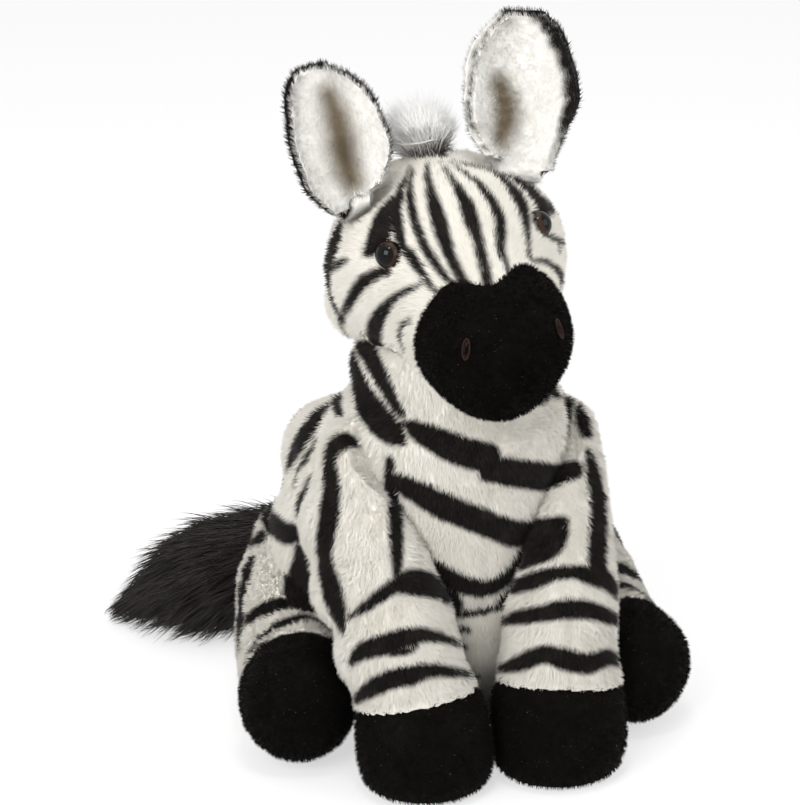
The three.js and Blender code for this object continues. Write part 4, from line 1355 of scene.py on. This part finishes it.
ear_finish = ear_plush()
ears = {}
for side in SIDES:
    skin, value, cup_shade_mm = ear_form(side)
    skin.piece.data.materials.append(ear_finish)
    nothing_bare = np.zeros(len(skin.points), dtype=bool)
    heights = skin.points[:, 2]
    up_ear = unit((skin.points[heights.argmax()] - skin.points[heights.argmin()])[None])[0]
    pile = grow(f"ear_{side}_pile", skin, EAR_SPIKES, nothing_bare, up_ear, ear_finish, value,
                seed=200 + len(ears), length=EAR_PILE, width=0.45 * MM, lean=0.8,
                extras={RECESS_ATTRIBUTE: cup_shade_mm})
    ears[side] = (skin.piece, pile)
print("ears:", [len(piece.data.vertices) for piece, pile in ears.values()])

# %% [markdown]
# ## Long hair
#
# The forelock and the tail are cut from a long pile whose hairs bend. Each hair is a tapered three-sided
# tube of a few rings that starts on a small hidden core and curves under its own weight. The forelock's
# hairs fan out from one stitched point, dark at the root. The tail's lie along the tail, out to its tip.

# %% Bent hairs
HAIR_RINGS = 4


def hair_piece(name, roots, direction, length, width, bend, rng):
    """Tapered three-sided hairs. Each starts along its direction and is drawn aside by bend at its tip."""
    count = len(roots)
    side = unit(np.cross(direction, rng.normal(size=(count, 3))))
    other = np.cross(direction, side)
    rows = []
    for ring in range(HAIR_RINGS):
        along = ring / HAIR_RINGS
        middle = roots + (direction * along + bend * along**2) * length[:, None]
        radius = width / 2 * (1 - 0.75 * along)
        for k in range(3):
            turn = 2 * math.pi * k / 3
            rows.append(middle + (side * math.cos(turn) + other * math.sin(turn)) * radius)
    rows.append(roots + (direction + bend) * length[:, None])
    points = np.stack(rows, axis=1).reshape(-1, 3)
    per_hair = 3 * HAIR_RINGS + 1
    start = (np.arange(count) * per_hair)[:, None]
    faces = []
    for ring in range(HAIR_RINGS):
        for k in range(3):
            a, b = 3 * ring + k, 3 * ring + (k + 1) % 3
            if ring < HAIR_RINGS - 1:
                faces += [start + [a, b, b + 3], start + [a, b + 3, a + 3]]
            else:
                faces.append(start + [a, b, per_hair - 1])
    piece = new_mesh_piece(name, points, np.concatenate(faces))
    along = [ring / HAIR_RINGS for ring in range(HAIR_RINGS) for _ in range(3)] + [1.0]
    store(piece, TIP_ATTRIBUTE, np.tile(along, count))
    store(piece, TONE_ATTRIBUTE, np.repeat(rng.random(count), per_hair))
    return piece


def black_hair():
    finish = Finish("black_hair")
    tone, tip = finish.attribute(TONE_ATTRIBUTE), finish.attribute(TIP_ATTRIBUTE)
    amount = finish.maths("MULTIPLY", tone, finish.between(tip, 0.0, 1.0, 0.4, 1.0))
    patch = finish.between(finish.noise(12), 0.35, 0.75)
    colour = finish.mix(amount, (0.006, 0.005, 0.0048, 1), (0.040, 0.032, 0.027, 1))
    colour = finish.mix(finish.maths("MULTIPLY", patch, 0.35), colour, (0.010, 0.008, 0.0075, 1))
    return finish.surface(Base_Color=colour, Roughness=0.5, Specular_IOR_Level=0.3)


def forelock_hair():
    finish = Finish("forelock_hair")
    tone = finish.attribute(TONE_ATTRIBUTE)
    white = finish.mix(tone, (0.95, 0.945, 0.93, 1), (0.84, 0.83, 0.81, 1))
    dark = finish.mix(tone, (0.055, 0.038, 0.032, 1), (0.14, 0.105, 0.09, 1))
    from_root = finish.maths("ADD", finish.attribute(STRIPE_ATTRIBUTE), finish.maths("MULTIPLY", tone, 3.0))
    colour = finish.mix(finish.between(from_root, 7.5, 17.0), dark, white)
    return finish.surface(Base_Color=colour, Roughness=0.6, Specular_IOR_Level=0.3)


# %% Forelock
FORELOCK_ROOT = (430, 158)
FORELOCK_HAIRS = 8500
FORELOCK_SEWN = 5 * MM
FORELOCK_SHIFT = np.array((-3, 0, 2)) * MM
FORELOCK_PARTED = 4 * MM  # in front, hairs that end lower than this are combed away

forelock_finish = forelock_hair()
rng = np.random.default_rng(301)
forelock_low, forelock_high = (np.array(corner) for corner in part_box("forelock"))
forelock_middle, forelock_half = (forelock_low + forelock_high) / 2, (forelock_high - forelock_low) / 2
forelock_place = np.array(head.seen_at(FORELOCK_ROOT))
core = melted_form("forelock_core", ["forelock"], tuck=7 * MM, voxel=2 * MM, smoothing=6)
ways = unit(rng.normal(size=(FORELOCK_HAIRS, 3)))
ends = forelock_middle + ways * forelock_half * rng.uniform(0.8, 1.28, (FORELOCK_HAIRS, 1)) + FORELOCK_SHIFT
in_front, above = (ends - forelock_middle) @ np.array(view_back), (ends - forelock_middle) @ np.array(view_up)
low_enough = np.where(in_front < -2 * MM, -7 * MM, FORELOCK_PARTED)
ends = ends[(head.heights(ends)[0] > 1.5 * MM) & (above > low_enough)]
roots = forelock_place + rng.normal(size=ends.shape) * FORELOCK_SEWN / 2
length = np.linalg.norm(ends - roots, axis=1)
wave = slow_wave(ends, 8 * MM, rng) * 0.07 + rng.normal(size=ends.shape) * 0.05
forelock = hair_piece("forelock_hair", roots, unit(ends - roots), length, 0.7 * MM, wave, rng)
for piece in (forelock, core):
    from_root = np.linalg.norm(coordinates(piece.data) - forelock_place, axis=1) / MM
    store(piece, STRIPE_ATTRIBUTE, from_root)
for piece in (forelock, core):
    piece.data.materials.append(forelock_finish)
print("forelock:", len(forelock.data.polygons), "faces")

# %% Tail
TAIL_PATH = np.array([(0, 86, 46), (-42, 102, 38), (-95, 106, 32), (-150, 120, 12)]) * MM
TAIL_HAIRS = 9400
TAIL_HAIR_LENGTH = 28 * MM
FLOOR_ROOM = 0.8 * MM

tail_finish = black_hair()
rng = np.random.default_rng(302)
tail_core = melted_form("tail_core", ["tail_pile"], tuck=8 * MM, voxel=3 * MM, smoothing=6)
tail_skin = Skin(tail_core)
tail_line = smooth_path(TAIL_PATH)
tail_flow = unit(np.gradient(tail_line, axis=0))
chosen, shares = scatter(tail_skin, TAIL_HAIRS, np.zeros(len(tail_skin.points), dtype=bool), rng)
roots, outward = spread(tail_skin.points, chosen, shares), unit(spread(tail_skin.normals, chosen, shares))
nearest_part = np.linalg.norm(roots[:, None, :] - tail_line[None, :, :], axis=2).argmin(axis=1)
flow = tail_flow[nearest_part]
wisps = 1 + 1.4 * (rng.random((len(roots), 1)) < 0.12)
lift = outward * 0.30 * wisps + slow_wave(roots, 14 * MM, rng) * 0.18 + rng.normal(size=roots.shape) * 0.12
to_tip = np.linalg.norm(roots - tail_line[-1], axis=1)
gathered = (1 - ramp(to_tip, 15 * MM, 65 * MM))[:, None]
flow = unit(flow * (1 - gathered) + unit(tail_line[-1] + tail_flow[-1] * 6 * MM - roots) * gathered)
length = np.minimum(TAIL_HAIR_LENGTH * rng.uniform(0.55, 1.0, len(roots)), to_tip + 6 * MM)
tail_hair = hair_piece("tail_hair", roots, unit(flow + lift * (1 - 0.6 * gathered)), length, 0.8 * MM,
                       flow * 0.15 + DOWN * 0.26, rng)
hair_places = coordinates(tail_hair.data)
hair_places[:, 2] = np.maximum(hair_places[:, 2], FLOOR_ROOM + (hair_places[:, 2] + 8 * MM) * 0.08)
move_to(tail_hair, hair_places)
for piece in (tail_hair, tail_core):
    piece.data.materials.append(tail_finish)
print("tail:", len(tail_hair.data.polygons), "faces")

# %% [markdown]
# ## Eyes and nostrils
#
# The eyes are glossy moulded plastic: a domed bead, brown at the rim and black in the middle, with a stem
# that goes through the cloth. The dome is a sphere whose back is cut off, so that it sits on the face like
# the real one. Each nostril is a small open fold of satin, dished into the velour.

# %% Eyes
EYE_RADIUS = 6.8 * MM
EYE_BACK = 2.5 * MM
EYE_SUNK = 0.6 * MM
IRIS_ATTRIBUTE = "from_pupil"


def eye_plastic():
    finish = Finish("eye_plastic")
    outward = finish.attribute(IRIS_ATTRIBUTE)
    iris = finish.mix(finish.noise(1.2), (0.020, 0.009, 0.005, 1), (0.048, 0.024, 0.014, 1))
    rim = finish.mix(finish.between(outward, 0.90, 0.97), iris, (0.004, 0.003, 0.003, 1))
    colour = finish.mix(finish.between(outward, 0.72, 0.80), (0.001, 0.0009, 0.0009, 1), rim)
    return finish.surface(Base_Color=colour, Roughness=0.05, Specular_IOR_Level=0.18)


def eye_dome(side, material):
    points, washer = node_points(f"eye_{side}"), node_points(f"eye_washer_{side}").mean(axis=0)
    along = unit((points.mean(axis=0) - washer)[None])[0]
    front = ((points - washer) @ along).max() - EYE_SUNK
    way = Vector(along)
    centre = Vector(washer + along * (front - EYE_RADIUS))
    deselect()
    bpy.ops.mesh.primitive_uv_sphere_add(segments=48, ring_count=24, radius=EYE_RADIUS, location=centre)
    dome = bpy.context.object
    dome.name = f"eye_dome_{side}"
    bpy.ops.object.transform_apply(location=True, rotation=True, scale=True)
    bpy.ops.object.mode_set(mode="EDIT")
    bpy.ops.mesh.select_all(action="SELECT")
    bpy.ops.mesh.bisect(plane_co=centre - way * EYE_BACK, plane_no=way, use_fill=True, clear_inner=True)
    bpy.ops.object.mode_set(mode="OBJECT")
    bpy.ops.object.shade_smooth()
    apply_modifier(dome, "BEVEL", width=0.6 * MM, segments=2, limit_method="ANGLE")
    spots = unit(coordinates(dome.data) - np.array(centre))
    store(dome, IRIS_ATTRIBUTE, np.sqrt(np.clip(1 - (spots @ np.array(way)) ** 2, 0, 1)))
    dome.data.materials.append(material)
    return dome, centre, way


eye_finish = eye_plastic()
eyes = {side: eye_dome(side, eye_finish) for side in SIDES}
print("eyes at", {side: [round(v / MM) for v in eye[1]] for side, eye in eyes.items()})

# %% Nostrils
NOSTRIL_LENGTH, NOSTRIL_WIDTH = 10 * MM, 3.4 * MM
NOSTRIL_DISH = 1.6 * MM


def nostril_satin():
    finish = Finish("nostril_satin")
    colour = finish.mix(finish.noise(2.0), (0.010, 0.004, 0.003, 1), (0.036, 0.016, 0.012, 1))
    return finish.surface(Base_Color=colour, Roughness=0.5, Specular_IOR_Level=0.15)


def nostril_fold(side, material):
    """An oval disc, inset twice and dished, laid on the velour where the model has its nostril."""
    place = Vector(node_points(f"nostril_{side}").mean(axis=0))
    skin = Skin(covers["muzzle"])
    spot, way = skin.tree.find_nearest(place)[:2]
    deselect()
    bpy.ops.mesh.primitive_circle_add(vertices=32, radius=1, fill_type="NGON")
    fold = bpy.context.object
    fold.name = f"nostril_fold_{side}"
    bpy.ops.object.mode_set(mode="EDIT")
    bpy.ops.mesh.select_all(action="SELECT")
    bpy.ops.transform.resize(value=(NOSTRIL_WIDTH / 2, NOSTRIL_LENGTH / 2, 1))
    for share in (0.25, 0.35):
        bpy.ops.mesh.inset(thickness=NOSTRIL_WIDTH / 2 * share)
        bpy.ops.transform.translate(value=(0, 0, -NOSTRIL_DISH / 2))
    bpy.ops.object.mode_set(mode="OBJECT")
    apply_modifier(fold, "SOLIDIFY", thickness=0.6 * MM, offset=-1)
    apply_modifier(fold, "SUBSURF", levels=1, render_levels=1)
    bpy.ops.object.shade_smooth()
    rise = Vector(head_up)
    up = (rise - way * rise.dot(way)).normalized()
    across = up.cross(way)
    points = coordinates(fold.data)
    frame_axes = np.array([across, up, way])
    move_to(fold, points @ frame_axes + np.array(spot + way * 1.4 * MM))
    fold.data.materials.append(material)
    return fold


satin = nostril_satin()
nostrils = {side: nostril_fold(side, satin) for side in SIDES}
print("nostrils:", [len(fold.data.vertices) for fold in nostrils.values()])

# %% [markdown]
# ## What each piece rides on
#
# Every piece stands for the nodes that it was made from, and all but the body's cloth and its pile move with
# a body of the model. The body's cloth crosses the neck joint; it rides on no body, and its place is written
# into its points. The pile follows its cloth.


def stands_for(piece, body_name, nodes):
    if body_name:
        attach(piece, body_name)
    if nodes:
        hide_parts(*nodes)


def limb_body(pair, side):
    return f"{side}_{pair}_leg"


stands_for(forms["body_plush"], None, body_nodes + neck_nodes)
head_stuffing = ["head_cover_left", "head_cover_right", "head_filling"]
stands_for(forms["head_plush"], "head", head_stuffing)
stands_for(covers["muzzle"], "head", ["muzzle_cover", "chin_cover"])
for pair, side in LIMBS:
    leg_body, parts = limb_body(pair, side), limb_nodes(pair, side)
    stands_for(forms[f"{pair}_leg_plush_{side}"], leg_body, parts[:2])
    stands_for(covers[f"{pair}_hoof_{side}"], leg_body, parts[2:])
for side in SIDES:
    cloth, pile = ears[side]
    stands_for(cloth, f"{side}_ear", [f"ear_back_{side}", f"ear_lining_{side}"])
    stands_for(pile, f"{side}_ear", [])
    stands_for(eyes[side][0], "head", [f"eye_{side}"])
    stands_for(nostrils[side], "head", [f"nostril_{side}"])
stands_for(forelock, "head", ["forelock"])
stands_for(core, "head", [])
stands_for(tail_hair, "tail", ["tail_pile"])
stands_for(tail_core, "tail", ["tail_tape"])

cloth_bodies = {"body_plush": None, "head_plush": "head", "muzzle": "head"}
for pair, side in LIMBS:
    cloth_bodies[f"{pair}_leg_plush_{side}"] = limb_body(pair, side)
    cloth_bodies[f"{pair}_hoof_{side}"] = limb_body(pair, side)
for name, pile in {**piles, **velour_piles}.items():
    stands_for(pile, cloth_bodies[pile["cloth"]], [])
for piece in [forms["body_plush"]] + [pile for pile in piles.values() if pile["cloth"] == "body_plush"]:
    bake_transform(piece)

# %% Finish the nodes that stay inside
def inner_plastic():
    finish = Finish("washer_plastic")
    colour = finish.mix(finish.noise(6), (0.62, 0.62, 0.60, 1), (0.70, 0.70, 0.68, 1))
    return finish.surface(Base_Color=colour, Roughness=0.4)


washer_finish = inner_plastic()
for side in SIDES:
    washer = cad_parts[f"eye_washer_{side}"]
    washer.data.materials.clear()
    washer.data.materials.append(washer_finish)
